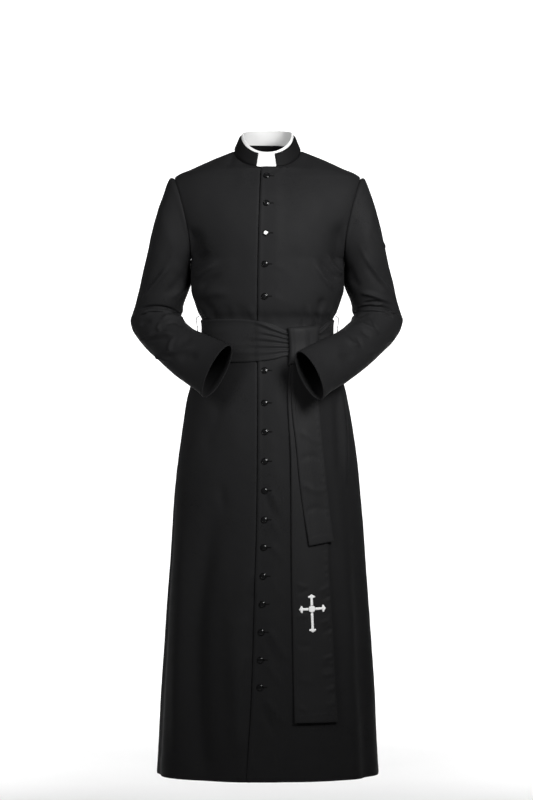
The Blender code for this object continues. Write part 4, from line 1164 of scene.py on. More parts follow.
# Behind and beside: paths are (metres round the body from the middle of the
# back, positive to the wearer's left, z), widths in metres.
BACK_CREASES = [
    row([(-0.150, -0.330), (-0.118, -0.318), (-0.070, -0.334)], 0.007, -2.2, 0.010),
    row([(-0.160, -0.300), (-0.112, -0.288), (-0.066, -0.303)], 0.010, 2.2, 0.012),
    row([(0.045, -0.330), (0.085, -0.312), (0.150, -0.318)], 0.007, -2.2, 0.010),
    row([(0.060, -0.301), (0.105, -0.284), (0.160, -0.292)], 0.010, 2.0, 0.012),
    row([(-0.040, -0.318), (-0.010, -0.327), (0.030, -0.316)], 0.007, -1.6, 0.009),
    row([(-0.055, -0.290), (-0.008, -0.298), (0.040, -0.288)], 0.012, 1.7, 0.012),
    row([(-0.030, -0.262), (0.010, -0.270), (0.052, -0.258)], 0.011, -1.4, 0.014),
    row([(-0.185, -0.215), (-0.158, -0.250), (-0.110, -0.280)], 0.010, 2.6, 0.013),
    row([(-0.190, -0.245), (-0.165, -0.275), (-0.130, -0.298)], 0.008, -2.2, 0.009),
    row([(0.182, -0.210), (0.150, -0.244), (0.100, -0.262)], 0.010, 2.5, 0.013),
    row([(0.188, -0.240), (0.160, -0.266), (0.122, -0.280)], 0.008, -2.1, 0.009),
    row([(-0.165, -0.140), (-0.145, -0.185), (-0.105, -0.235)], 0.014, -2.2, 0.016),
    row([(0.162, -0.135), (0.140, -0.182), (0.098, -0.228)], 0.014, -2.1, 0.016),
    row([(-0.080, -0.090), (-0.072, -0.130), (-0.076, -0.180)], 0.022, 1.8, 0.022),
    row([(0.078, -0.088), (0.072, -0.130), (0.078, -0.184)], 0.022, 1.8, 0.022),
    row([(-0.060, -0.030), (-0.020, -0.044), (0.024, -0.042), (0.062, -0.028)], 0.010, -1.2, 0.010),
    row([(0.000, -0.070), (0.001, -0.150), (-0.002, -0.230)], 0.018, -1.6, 0.020),
    # below the sash, where the skirt springs from the waist
    row([(-0.095, -0.470), (-0.102, -0.520), (-0.115, -0.600)], 0.008, 2.2, 0.008, 0.05, 0.6),
    row([(-0.060, -0.468), (-0.064, -0.510), (-0.070, -0.580)], 0.007, -2.0, 0.008, 0.05, 0.6),
    row([(-0.024, -0.470), (-0.024, -0.530), (-0.030, -0.620)], 0.008, 1.9, 0.008, 0.05, 0.6),
    row([(0.014, -0.469), (0.014, -0.520), (0.016, -0.590)], 0.007, -1.8, 0.008, 0.05, 0.6),
    row([(0.052, -0.470), (0.056, -0.525), (0.066, -0.612)], 0.008, 2.1, 0.008, 0.05, 0.6),
    row([(0.090, -0.469), (0.096, -0.515), (0.108, -0.585)], 0.007, -2.0, 0.008, 0.05, 0.6),
    row([(0.125, -0.471), (0.134, -0.520), (0.150, -0.600)], 0.007, 1.8, 0.008, 0.05, 0.6),
    row([(-0.130, -0.469), (-0.140, -0.515), (-0.155, -0.590)], 0.007, -1.7, 0.008, 0.05, 0.6),
    # long folds, softer and unequal
    row([(-0.210, -0.640), (-0.225, -0.900), (-0.235, -1.300)], 0.020, 2.0, 0.018, 0.4, 0.05),
    row([(-0.120, -0.680), (-0.138, -0.950), (-0.150, -1.362)], 0.014, 2.4, 0.018, 0.4, 0.0),
    row([(0.040, -0.720), (0.042, -1.000), (0.030, -1.362)], 0.015, -2.2, 0.017, 0.4, 0.0),
    row([(0.165, -0.650), (0.186, -0.940), (0.190, -1.362)], 0.016, 2.2, 0.020, 0.4, 0.0),
    row([(0.250, -0.700), (0.270, -1.000), (0.290, -1.340)], 0.016, -1.8, 0.018, 0.4, 0.1),
    row([(-0.060, -0.860), (-0.052, -1.060), (-0.058, -1.300)], 0.012, 1.4, 0.014, 0.4, 0.3),
]

# Sleeves, in the picture: the wearer's right one, then the left.
RIGHT_SLEEVE_CREASES = [
    row([(182, 176), (188, 200), (190, 226)], 2.8, 0.6, 3.5, 0.3, 0.5),
    row([(171, 262), (157, 281), (141, 302)], 1.6, 2.1, 2.4, 0.3, 0.2),
    row([(174, 240), (163, 262), (150, 284)], 4.0, -0.9, 5.0, 0.4, 0.3),
    row([(188, 262), (180, 280), (163, 298)], 4.0, -1.2, 4.2, 0.4, 0.3),
    row([(187, 278), (182, 290), (168, 300)], 2.6, 0.9, 3.0, 0.3, 0.4),
    # the elbow's bend: a sharp line with a roll of cloth under it
    row([(137, 311), (146, 307.4), (159, 306.6), (171, 309.4), (181, 315)], 1.6, -1.8, 1.2, 0.25, 0.3),
    row([(138, 315.5), (150, 310.6), (167, 311.8), (179, 318)], 1.2, 1.5, 1.8, 0.25, 0.3),
    row([(136, 320), (143, 313.5), (153, 312)], 1.8, 1.3, 2.0, 0.3, 0.4),
    row([(139, 327), (145, 322), (153, 321)], 2.6, -1.5, 2.8, 0.4, 0.4),
    row([(160, 321), (168, 316.4), (179, 318.6), (188, 326)], 1.5, 1.7, 1.7, 0.25, 0.25),
    row([(164, 325), (174, 321.4), (185, 328)], 1.6, -1.5, 1.6, 0.3, 0.3),
    row([(161, 321), (158, 328), (161, 334)], 1.6, 1.0, 1.8, 0.3, 0.4),
    row([(139, 340), (152, 336.4), (164, 333.2), (176, 334.4)], 1.7, 1.8, 1.5, 0.2, 0.25),
    row([(148, 333), (158, 331), (168, 329.6)], 2.2, -1.2, 2.2, 0.4, 0.4),
    row([(148, 341.6), (160, 338.6), (171, 338)], 2.0, -1.4, 2.4, 0.3, 0.3),
    row([(176, 334.6), (170.5, 344), (171.5, 352), (184, 349.4), (198, 344)], 1.7, 1.5, 1.7, 0.2, 0.35),
    row([(177, 342), (185, 340.5), (193, 337)], 2.6, -1.0, 2.6, 0.4, 0.4),
    row([(178, 362), (187, 356.4), (200, 357.5)], 4.0, -1.5, 4.6, 0.4, 0.4),
    row([(154, 356), (163, 359), (173, 361.5)], 1.5, 1.6, 1.8, 0.2, 0.4),
    row([(160, 352.5), (168, 355), (175, 357)], 2.0, -1.0, 2.0, 0.3, 0.4),
    row([(137, 330), (142, 338), (150, 347)], 1.8, 0.9, 2.2, 0.3, 0.3),
]
LEFT_SLEEVE_CREASES = [
    row([(353, 177), (347, 200), (345, 226)], 3.5, 0.6, 2.8, 0.3, 0.5),
    row([(356, 238), (366, 258), (376, 272), (387, 287), (398, 303.5)], 1.8, 1.8, 1.5, 0.45, 0.15),
    row([(371, 229), (381, 242), (389, 252), (396, 267)], 1.5, 1.2, 1.5, 0.35, 0.25),
    row([(364, 262), (374, 277), (384, 291)], 2.4, -0.9, 2.4, 0.4, 0.3),
    row([(378, 262), (387, 275), (394, 290)], 2.0, -0.7, 2.0, 0.4, 0.3),
    row([(349, 262), (354, 280), (362, 289)], 3.6, -1.2, 3.4, 0.4, 0.3),
    # a fold lies over the elbow's bend
    row([(359.5, 292.6), (370, 294.4), (383, 299.4), (396, 305)], 1.5, 2.2, 2.0, 0.2, 0.35),
    row([(361.5, 303.6), (370, 302.2), (378, 302), (383, 303)], 1.2, -1.8, 1.1, 0.3, 0.25),
    row([(372, 305.8), (378, 305.4), (382, 304)], 1.0, 0.9, 1.0, 0.3, 0.3),
    row([(354.5, 312), (361, 308.2), (372, 306.8), (386, 308.6), (395, 314), (400, 321)], 1.3, -1.7, 1.6, 0.25, 0.4),
    row([(358, 312.6), (369, 309.8), (382, 311.4), (392, 316.6)], 1.3, 1.3, 1.5, 0.3, 0.3),
    row([(379, 311.6), (386, 313.6), (393, 318)], 1.1, -1.3, 1.1, 0.35, 0.3),
    row([(389, 302), (395, 308), (400, 315)], 1.6, 0.7, 1.7, 0.4, 0.4),
    row([(354.5, 318.4), (363, 314.4), (370, 313.4)], 1.3, -1.2, 1.3, 0.35, 0.35),
    row([(354.6, 323.4), (364, 325.6), (374, 331), (379, 337)], 1.7, 1.9, 2.4, 0.3, 0.3),
    row([(366, 318), (370, 322), (376, 329)], 2.4, 1.2, 2.4, 0.3, 0.35),
    row([(374, 312.6), (371.8, 320), (375.6, 328), (379.6, 333)], 1.1, -1.3, 1.1, 0.35, 0.35),
    row([(360, 330), (366, 333.4), (371, 338)], 1.8, -1.4, 1.8, 0.35, 0.35),
    row([(344.5, 334), (349, 341), (356, 345), (364, 345.4)], 1.7, 1.5, 2.0, 0.3, 0.35),
    row([(356.5, 336), (359.5, 342), (362.6, 350)], 1.4, -1.3, 1.5, 0.35, 0.35),
    row([(383, 343), (390, 340.4), (396, 336.6)], 1.6, 1.0, 1.8, 0.3, 0.3),
    row([(337, 354), (345, 357), (356, 358)], 3.2, -1.2, 3.8, 0.4, 0.4),
    row([(364, 352), (374, 353), (384, 349)], 2.8, 0.9, 3.0, 0.4, 0.4),
]

# The sleeves' unseen sides: paths are (share along the sleeve, degrees round
# it: 0 the outer side, 90 the front, 180 the armpit, 270 the back) scaled so
# that both are about metres; widths in metres.
SLEEVE_LONG = 0.62        # about the length of a sleeve
SLEEVE_ROUND = 0.40 / 360  # and its way round for each degree
HIDDEN_SLEEVE_CREASES = [
    # share, degrees
    ([(0.02, 268), (0.10, 262), (0.22, 262)], 0.012, 1.6, 0.014, 0.2, 0.5),
    ([(0.04, 300), (0.14, 296), (0.26, 302)], 0.012, -1.4, 0.014, 0.2, 0.5),
    ([(0.20, 235), (0.30, 262), (0.42, 285)], 0.010, 2.3, 0.012, 0.4, 0.3),
    ([(0.24, 215), (0.33, 240), (0.43, 262)], 0.009, -2.0, 0.011, 0.4, 0.3),
    ([(0.45, 225), (0.475, 255), (0.48, 290), (0.465, 325)], 0.008, -3.0, 0.009, 0.3, 0.3),
    ([(0.42, 235), (0.44, 262), (0.445, 300)], 0.009, 2.0, 0.010, 0.3, 0.3),
    ([(0.50, 230), (0.515, 262), (0.52, 300), (0.51, 330)], 0.009, 2.4, 0.010, 0.3, 0.3),
    ([(0.54, 222), (0.555, 250), (0.555, 290)], 0.008, -2.0, 0.009, 0.3, 0.4),
    ([(0.58, 225), (0.60, 255), (0.605, 290)], 0.010, 1.8, 0.011, 0.3, 0.4),
    ([(0.47, 195), (0.50, 182), (0.50, 165)], 0.007, -3.2, 0.008, 0.3, 0.3),
    ([(0.44, 195), (0.465, 180), (0.465, 160)], 0.007, 1.8, 0.008, 0.3, 0.3),
    ([(0.53, 200), (0.535, 184), (0.535, 168)], 0.007, 1.8, 0.008, 0.3, 0.3),
    ([(0.62, 240), (0.70, 262), (0.78, 272)], 0.012, -1.6, 0.012, 0.4, 0.4),
    ([(0.66, 215), (0.76, 236), (0.88, 246)], 0.012, 1.7, 0.014, 0.4, 0.4),
    ([(0.72, 285), (0.82, 296), (0.92, 300)], 0.012, 1.2, 0.014, 0.4, 0.4),
    ([(0.06, 200), (0.12, 212), (0.20, 216)], 0.010, -2.2, 0.012, 0.3, 0.4),
    ([(0.05, 225), (0.12, 236), (0.22, 240)], 0.012, 1.6, 0.012, 0.3, 0.4),
]


def facing(points, normals):
    """1 where the camera sees a surface, 0 where it is turned away."""
    camera = np.array([CAMERA_X, -CAMERA_FAR, CAMERA_Z])
    see = np.sum(unit(camera - points) * normals, axis=-1)
    return smooth_step(0.02, 0.22, see)


# ----------------------------------------------------------------- panels
FINE_BODY_ROWS, FINE_CENTRE_ROWS = BODY_ROWS, CENTRE_ROWS


def panel_rise(turn, z):
    """Creases' height over the body at turns and levels, round the whole."""
    base = body(turn, z)
    normal = body_normal(turn, z)
    px, py = shown_at(base)
    front_mask = facing(base, normal)
    rise = 2.3 * creases(px, py, BODY_CREASES) * front_mask
    round_back = np.where(turn > 0, turn - math.pi, turn + math.pi) * 0.170
    away = smooth_step(0.04, 0.10, np.abs(turn) / math.pi - 0.45)
    rise = rise + creases(round_back, z, BACK_CREASES) * away
    rise = rise + 0.0006 * wobble(base[..., 0], z + 0.4 * base[..., 1], 0.11, 3)
    rise = rise + 0.00022 * wobble(base[..., 0], z + 0.4 * base[..., 1], 0.035, 8)
    # Under the sash the cloth is held flat.
    low, high = sash_bottom_at(np.degrees(turn)), sash_top_at(np.degrees(turn))
    under = smooth_step(low - 0.006, low + 0.004, z) * (
        1 - smooth_step(high - 0.006, high + 0.003, z)
    )
    return base, normal, rise * (1 - under)


def seam_dips(outer, behind):
    """Distances in metres from the outer edge (side seam and armhole) and from
    the last row (shoulder seam)."""
    across = np.linalg.norm(np.diff(outer, axis=1), axis=-1)
    gone = np.concatenate([np.zeros((outer.shape[0], 1)), np.cumsum(across, 1)], 1)
    side = gone[:, -1:] - gone
    up = np.linalg.norm(np.diff(outer, axis=0), axis=-1)
    risen = np.concatenate([np.zeros((1, outer.shape[1])), np.cumsum(up, 0)], 0)
    top = risen[-1:] - risen
    return side, top, gone, risen


def held_at_seam(z, distance):
    """Creases fade where a panel is sewn to its sleeve."""
    beside = smooth_step(ARMPIT_Z - 0.02, ARMPIT_Z + 0.005, z)
    return 1 - beside * (1 - smooth_step(0.0, 0.012, distance))


def front_panel(name, side):
    if side > 0:
        edge_x = lambda z: float(lap_edge_at(z))
    else:
        edge_x = lambda z: -UNDERLAP_X
    rows = half_rows(False, edge_x)
    shares = []
    lap = None
    for (t0, z0), (t1, _) in rows:
        if z0 < -0.038:
            lap = [
                (float(turn_of_x(x, z0)) - t0) / (t1 - t0)
                for x in (LAP_FULL_X, LAP_END_X)
            ]
        shares.append(
            np.concatenate(
                [
                    np.linspace(0, lap[0], 15)[:-1],
                    np.linspace(lap[0], lap[1], 9)[:-1],
                    np.linspace(lap[1], 1, 57),
                ]
            )
        )
    turn, z = row_points(rows, shares, 22)
    base, normal, rise = panel_rise(turn * side, z)
    lift = lap_lift(plain_body(turn, z)[..., 0]) if side > 0 else 0 * turn
    seam_side, seam_top, gone, risen = seam_dips(base, False)
    out = lift + rise * held_at_seam(z, seam_side)
    # The sewn edges dip to their seams; the armhole's more than the side's.
    above = z > ARMPIT_Z - 0.002
    out = out + np.where(
        above,
        edge_roll(seam_side, 0.0009, 0.0018),
        edge_roll(seam_side, 0.0009, 0.0030),
    )
    out = out + edge_roll(seam_top, 0.0008, 0.0028)
    # The top edge is sewn to the collar.
    near_neck = np.zeros_like(z)
    near_neck[FINE_BODY_ROWS + FINE_CENTRE_ROWS :, :] = 1.0
    out = out + near_neck * edge_roll(gone, 0.0009, 0.0030)
    if side > 0:
        # The lap's folded edge is rounded and a little puffed behind it.
        out = out + 0.0011 * np.exp(-(((gone - 0.0035) / 0.004) ** 2)) * (
            z < -0.040
        )
        out = out - 0.0013 * np.exp(-((gone / 0.0010) ** 2)) * (z < -0.040)
    else:
        # The right front dips where the lap's edge lies over it.
        to_edge = base[..., 0] - lap_edge_at(z)
        out = out - 0.0040 * np.exp(-(((to_edge - 0.0010) / 0.0028) ** 2)) * (
            z < -0.045
        )
    # The hem is turned up inside: a soft edge and the faint ridge of its fold.
    hem = z - HEM_Z
    out = out - 0.0006 * np.exp(-((hem / 0.0030) ** 2))
    out = out + 0.00035 * smooth_step(0.046, 0.038, hem)
    outer = base + normal * out[..., None]
    inner = base + normal * (out - WALL)[..., None]
    thing = grid_wall(name, outer, inner)
    return thing


def fine_back():
    rows = half_rows(True)
    columns = 64
    shares = [np.linspace(0, 1, columns + 1)] * len(rows)
    turn, z = row_points(rows, shares)
    both = {}
    for side in (1, -1):
        base, normal, rise = panel_rise(turn * side, z)
        seam_side, seam_top, gone, risen = seam_dips(base, True)
        above = z > ARMPIT_Z - 0.002
        out = rise * held_at_seam(z, seam_side) + np.where(
            above,
            edge_roll(seam_side, 0.0009, 0.0018),
            edge_roll(seam_side, 0.0009, 0.0030),
        )
        out = out + edge_roll(seam_top, 0.0008, 0.0028)
        near_neck = np.zeros_like(z)
        near_neck[FINE_BODY_ROWS + FINE_CENTRE_ROWS :, :] = 1.0
        out = out + near_neck * edge_roll(gone, 0.0009, 0.0030)
        hem = z - HEM_Z
        out = out - 0.0006 * np.exp(-((hem / 0.0030) ** 2))
        out = out + 0.00035 * smooth_step(0.046, 0.038, hem)
        both[side] = (
            base + normal * out[..., None],
            base + normal * (out - WALL)[..., None],
        )
    # Up to the neckline the two halves are one grid, shared at the centre.
    last = FINE_BODY_ROWS + FINE_CENTRE_ROWS
    points, inside, faces, uv = [], [], [], []
    index = {}
    total = 0
    for side in (1, -1):
        outer, inner = both[side]
        across = np.linalg.norm(np.diff(outer, axis=1), axis=-1)
        u = np.concatenate([np.zeros((len(outer), 1)), np.cumsum(across, 1)], 1)
        v = z
        ids = np.arange(outer.shape[0] * outer.shape[1]).reshape(outer.shape[:2])
        ids = ids + total
        if side < 0:
            ids[: last + 1, 0] = index[1][: last + 1, 0]
        index[side] = ids
        points.append(outer.reshape(-1, 3))
        inside.append(inner.reshape(-1, 3))
        uv.append(np.stack([-side * u, v], -1).reshape(-1, 2))
        quads = np.stack(
            [ids[:-1, :-1], ids[:-1, 1:], ids[1:, 1:], ids[1:, :-1]], -1
        ).reshape(-1, 4)
        faces.append(quads if side < 0 else quads[:, ::-1])
        total += outer.shape[0] * outer.shape[1]
    points, inside = np.concatenate(points), np.concatenate(inside)
    uv, faces = np.concatenate(uv), np.concatenate(faces)
    # Leave out the points that only the second half's centre would use.
    used = np.unique(faces)
    place = np.full(total, -1)
    place[used] = np.arange(len(used))
    points, inside = points[used], inside[used]
    seam = place[index[1][: last + 1, 0]]
    points[seam, 0] = inside[seam, 0] = 0.0
    return closed_wall("back_cloth", points, inside, place[faces], uv[used])


# ---------------------------------------------------------------- sleeves
def fine_sleeve(name, side, table):
    rings, round_ = 196, 92
    even = np.linspace(0, 1, rings + 1)
    # Rings lie closer together where the cloth creases at the elbow.
    close = 1 + 0.75 * np.exp(-(((np.linspace(0, 1, 801) - 0.56) / 0.17) ** 2))
    gone = np.concatenate([[0], np.cumsum((close[1:] + close[:-1]) / 2)])
    share = np.interp(even, gone / gone[-1], np.linspace(0, 1, 801))
    angle = np.arange(round_) * 2 * math.pi / round_
    s, a = np.meshgrid(share, angle, indexing="ij")
    base = sleeve_surface(s, a, side)
    normal = sleeve_normal(s, a, side)
    px, py = shown_at(base)
    rise = 3.2 * creases(px, py, table) * facing(base, normal)
    degrees = np.degrees(a)
    hidden = []
    for points, wide, high, other, begin, end in HIDDEN_SLEEVE_CREASES:
        hidden.append(
            row(
                [(p * SLEEVE_LONG, d * SLEEVE_ROUND) for p, d in points],
                wide,
                high,
                other,
                begin,
                end,
            )
        )
    away = 1 - facing(base, normal)
    rise = rise + creases(s * SLEEVE_LONG, degrees * SLEEVE_ROUND, hidden) * away
    rise = rise + 0.0006 * wobble(
        base[..., 0] + 0.5 * base[..., 1], base[..., 2], 0.085, 11 if side > 0 else 12
    )
    rise = rise + 0.00022 * wobble(
        base[..., 0] + 0.5 * base[..., 1], base[..., 2], 0.03, 14 if side > 0 else 15
    )
    ring_gap = np.linalg.norm(np.diff(base, axis=0), axis=-1)
    risen = np.concatenate([np.zeros((1, round_)), np.cumsum(ring_gap, 0)], 0)
    # Calm at the armhole seam, which has a soft roll of cloth beside it.
    rise = rise * smooth_step(0.0, 0.012, risen)
    rise = rise + edge_roll(risen, 0.0007, 0.0016)
    rise = rise + 0.0008 * np.exp(-(((risen - 0.0045) / 0.003) ** 2))
    # Under the arm the sleeve lies against the side of the body.
    rise = rise + 0.0042 * np.exp(-(((a - math.pi) / 0.55) ** 2)) * smooth_step(
        0.0, 0.05, risen
    ) * smooth_step(0.42, 0.30, s)
    # The cuff is turned up inside.
    left = risen[-1:] - risen
    rise = rise * smooth_step(0.0, 0.010, left)
    rise = rise - 0.0005 * np.exp(-((left / 0.0028) ** 2))
    rise = rise + 0.0003 * smooth_step(0.034, 0.028, left)
    outer = base + normal * rise[..., None]
    inner = base + normal * (rise - WALL)[..., None]
    uv = np.stack([a * 0.06, risen], -1)
    # Inside the armhole the seam allowance turns in under the panels.
    first = base[0]
    to_middle = unit(first.mean(0) - first)
    turned_in = []
    for along, deep in ((0.0085, 0.0044), (0.0045, 0.0040), (0.0012, 0.0028)):
        step = first + to_middle * deep
        step[:, 0] -= side * along
        turned_in.append(step)
    turned_in = np.array(turned_in)
    outer = np.concatenate([turned_in, outer])
    inner = np.concatenate([turned_in + to_middle * 0.0012, inner])
    uv = np.concatenate([uv[:1] + [0, -0.009], uv[:1] + [0, -0.005], uv[:1] + [0, -0.002], uv])
    return closed_wall(name, outer, inner, grid_faces(rings + 3, round_, True), uv)


# ----------------------------------------------------------------- collar
def fine_collar():
    start = math.asin(COLLAR_LEFT_END / NECK_HALF_WIDTH)
    stop = 2 * math.pi + math.asin(COLLAR_RIGHT_END / NECK_HALF_WIDTH)
    edge = 0.035
    angles = np.concatenate(
        [
            start + edge * np.linspace(0, 1, 9)[:-1] ** 1.6,
            np.linspace(start + edge, stop - edge, 150),
            stop - edge * np.linspace(1, 0, 9)[1:] ** 1.6,
        ]
    )
    # Below the neckline runs its sewn edge, turned in behind the panels.
    shares = np.concatenate(
        [
            np.linspace(-0.18, 0, 8)[:-1],
            0.10 * np.linspace(0, 1, 5)[:-1] ** 1.4,
            np.linspace(0.10, 0.90, 13),
            1 - 0.10 * np.linspace(1, 0, 5)[1:] ** 1.4,
        ]
    )
    base = np.array([[collar_point(a, s) for a in angles] for s in shares])
    inner = np.array(
        [[collar_point(a, s, COLLAR_CLOTH) for a in angles] for s in shares]
    )
    normal = unit(base - inner)
    tuck = 0.0024 * smooth_step(0.0, 0.07, -shares)[:, None, None]
    base, inner = base - normal * tuck, inner - normal * tuck
    uv = run_lengths(base)
    tall = np.linalg.norm(base[-1] - base[0], axis=-1)
    high = shares[:, None] * tall[None, :]
    to_top = tall[None, :] - high
    to_end = np.minimum(
        uv[..., 0] - uv[:, :1, 0], uv[:, -1:, 0] - uv[..., 0]
    )
    puff = 0.0006 * smooth_step(0, 0.006, to_top) * smooth_step(0, 0.006, high)
    puff = puff * smooth_step(0, 0.005, to_end)
    roll = -0.0007 * np.exp(-((to_top / 0.0012) ** 2))
    roll = roll - 0.0007 * np.exp(-((to_end / 0.0012) ** 2))
    roll = roll - 0.0005 * np.exp(-((np.maximum(high, 0) / 0.0014) ** 2))
    uneven = 0.0002 * wobble(uv[..., 0], high, 0.05, 21) * smooth_step(0, 0.004, to_top)
    outer = base + normal * (puff + roll + uneven)[..., None]
    # The inner side keeps clear of the white band.
    inner = inner - normal * np.minimum(roll * 0, 0)[..., None]
    inner = inner + normal * (0.0004 * np.exp(-((to_top / 0.0012) ** 2)))[..., None]
    return grid_wall("collar_cloth", outer, inner, uv=uv)


def white_band():
    inset = COLLAR_CLOTH + 0.0010
    tall = 1 + BAND_SHOWS / 0.034
    left = math.asin(COLLAR_LEFT_END / NECK_HALF_WIDTH)
    right = math.asin(COLLAR_RIGHT_END / NECK_HALF_WIDTH)
    corner = 0.0032          # radius of the tab's lower corners
    inside = np.linspace(right, left, 33)
    close = np.concatenate(
        [
            right + np.array([-0.0065, -0.0005]),
            right + np.array([0.0005, 0.002, 0.005, 0.010, 0.016, 0.024, 0.034]),
            left - np.array([0.0005, 0.002, 0.005, 0.010, 0.016, 0.024, 0.034]),
            left + np.array([0.0065, 0.0005]),
        ]
    )
    around = np.linspace(left + 0.05, 2 * math.pi + right - 0.05, 150)
    angles = np.unique(np.concatenate([inside[1:-1], close, around - 0.0]))
    angles = np.sort(np.where(angles > math.pi, angles - 2 * math.pi, angles))
    keep = np.concatenate([[True], np.diff(angles) > 4e-4])
    angles = angles[keep]
    n = len(angles)
    rows = 22
    low = np.empty(n)
    for k, a in enumerate(angles):
        x = NECK_HALF_WIDTH * math.sin(a)
        if COLLAR_RIGHT_END < x < COLLAR_LEFT_END and math.cos(a) > 0:
            gap = min(x - COLLAR_RIGHT_END, COLLAR_LEFT_END - x)
            rise = (
                corner - math.sqrt(max(0.0, corner**2 - (corner - gap) ** 2))
                if gap < corner
                else 0.0
            )
            low[k] = -0.07 + rise / 0.034
        else:
            low[k] = 0.34
    t = np.linspace(0, 1, rows)
    share = low[None, :] + (tall - low[None, :]) * t[:, None]

    def grid(depth, rise=None):
        points = np.array(
            [[collar_point(a, s, depth) for a, s in zip(angles, line)] for line in share]
        )
        return points

    outer, inner = grid(inset), grid(inset + BAND_CLOTH)
    normal = unit(outer - inner)
    high = (tall - share) * 0.034
    x = NECK_HALF_WIDTH * np.sin(angles)[None, :]
    to_end = np.minimum(x - COLLAR_RIGHT_END, COLLAR_LEFT_END - x)
    out = 0.0004 * smooth_step(0, 0.0015, high) - 0.0002
    tab = (to_end > 0) & (np.cos(angles)[None, :] > 0)
    # On the tab a line of stitching lies just inside the edge.
    base_line = (share + 0.07) * 0.034
    edge = np.minimum(to_end, base_line)
    out = out - np.where(
        tab, 0.00030 * np.exp(-(((edge - 0.0026) / 0.0006) ** 2)), 0.0
    )
    out = out + np.where(tab, 0.0005 * smooth_step(0.0, 0.0015, to_end), 0.0)
    outer = outer + normal * out[..., None]
    uv = np.stack([0 * share + angles[None, :] * 0.06, share * 0.034], -1)
    return closed_wall(
        "white_collar_band", outer, inner, grid_faces(rows - 1, n, True), uv
    )


# ------------------------------------------------------------------- sash
# Pleats of the sash: (degrees about the body, share of its height) of each
# ridge, which run together at the knot.
SASH_PLEATS = [
    # points, width below, height mm, width above
    ([(-12, 0.955), (-4, 0.93), (5.5, 0.865), (16, 0.875)], 0.030, 3.4, 0.028, 0.35, 0.0),
    ([(-15, 0.90), (-6, 0.86), (2, 0.80), (16, 0.79)], 0.024, -3.0, 0.026, 0.4, 0.0),
    ([(-10, 0.76), (-2, 0.725), (5.5, 0.71), (16, 0.70)], 0.030, 3.0, 0.032, 0.4, 0.0),
    ([(-5, 0.66), (5, 0.655), (16, 0.63)], 0.026, -2.4, 0.026, 0.4, 0.0),
    ([(7, 0.995), (12, 0.975), (18, 0.95)], 0.020, -2.4, 0.024, 0.4, 0.0),
    ([(-24, 0.60), (-4, 0.575), (16, 0.55)], 0.045, 2.6, 0.045, 0.6, 0.0),
    ([(-12, 0.50), (1, 0.485), (16, 0.465)], 0.026, -2.4, 0.028, 0.5, 0.0),
    ([(-34, 0.42), (-8, 0.40), (16, 0.375)], 0.050, 2.3, 0.045, 0.6, 0.0),
    ([(-15, 0.31), (0, 0.305), (16, 0.30)], 0.028, -2.2, 0.030, 0.5, 0.0),
    ([(-40, 0.22), (-10, 0.215), (16, 0.21)], 0.050, 2.0, 0.045, 0.6, 0.0),
    ([(-18, 0.12), (-2, 0.12), (16, 0.135)], 0.026, -1.7, 0.028, 0.5, 0.0),
    ([(-70, 0.74), (-48, 0.70), (-26, 0.74)], 0.080, 0.7, 0.070, 0.4, 0.4),
    # right of the knot
    ([(46, 0.93), (54, 0.925), (66, 0.94)], 0.018, -2.4, 0.020, 0.0, 0.5),
    ([(46, 0.85), (55, 0.87), (68, 0.915), (84, 0.93)], 0.034, 3.2, 0.034, 0.0, 0.5),
    ([(46, 0.755), (56, 0.74), (68, 0.72), (80, 0.71)], 0.024, -2.8, 0.026, 0.0, 0.5),
    ([(46, 0.65), (56, 0.64), (68, 0.61), (84, 0.58)], 0.040, 2.8, 0.045, 0.0, 0.6),
    ([(46, 0.53), (57, 0.51), (72, 0.47)], 0.026, -2.2, 0.028, 0.0, 0.6),
    ([(46, 0.42), (58, 0.41), (72, 0.37), (86, 0.33)], 0.045, 2.5, 0.050, 0.0, 0.6),
    ([(46, 0.28), (57, 0.28), (70, 0.26)], 0.026, -2.0, 0.028, 0.0, 0.6),
    ([(46, 0.17), (58, 0.18), (74, 0.19)], 0.040, 2.0, 0.040, 0.0, 0.6),
    # long soft lines round the back
    ([(96, 0.74), (130, 0.70), (172, 0.72)], 0.060, 1.0, 0.070, 0.4, 0.4),
    ([(100, 0.36), (140, 0.34), (178, 0.30)], 0.060, 0.9, 0.070, 0.4, 0.4),
    ([(-176, 0.66), (-140, 0.62), (-98, 0.66)], 0.060, 1.0, 0.070, 0.4, 0.4),
    ([(-172, 0.26), (-130, 0.30), (-90, 0.27)], 0.060, 0.9, 0.070, 0.4, 0.4),
    ([(-92, 0.50), (-70, 0.47), (-48, 0.50)], 0.060, 0.8, 0.070, 0.4, 0.4),
]


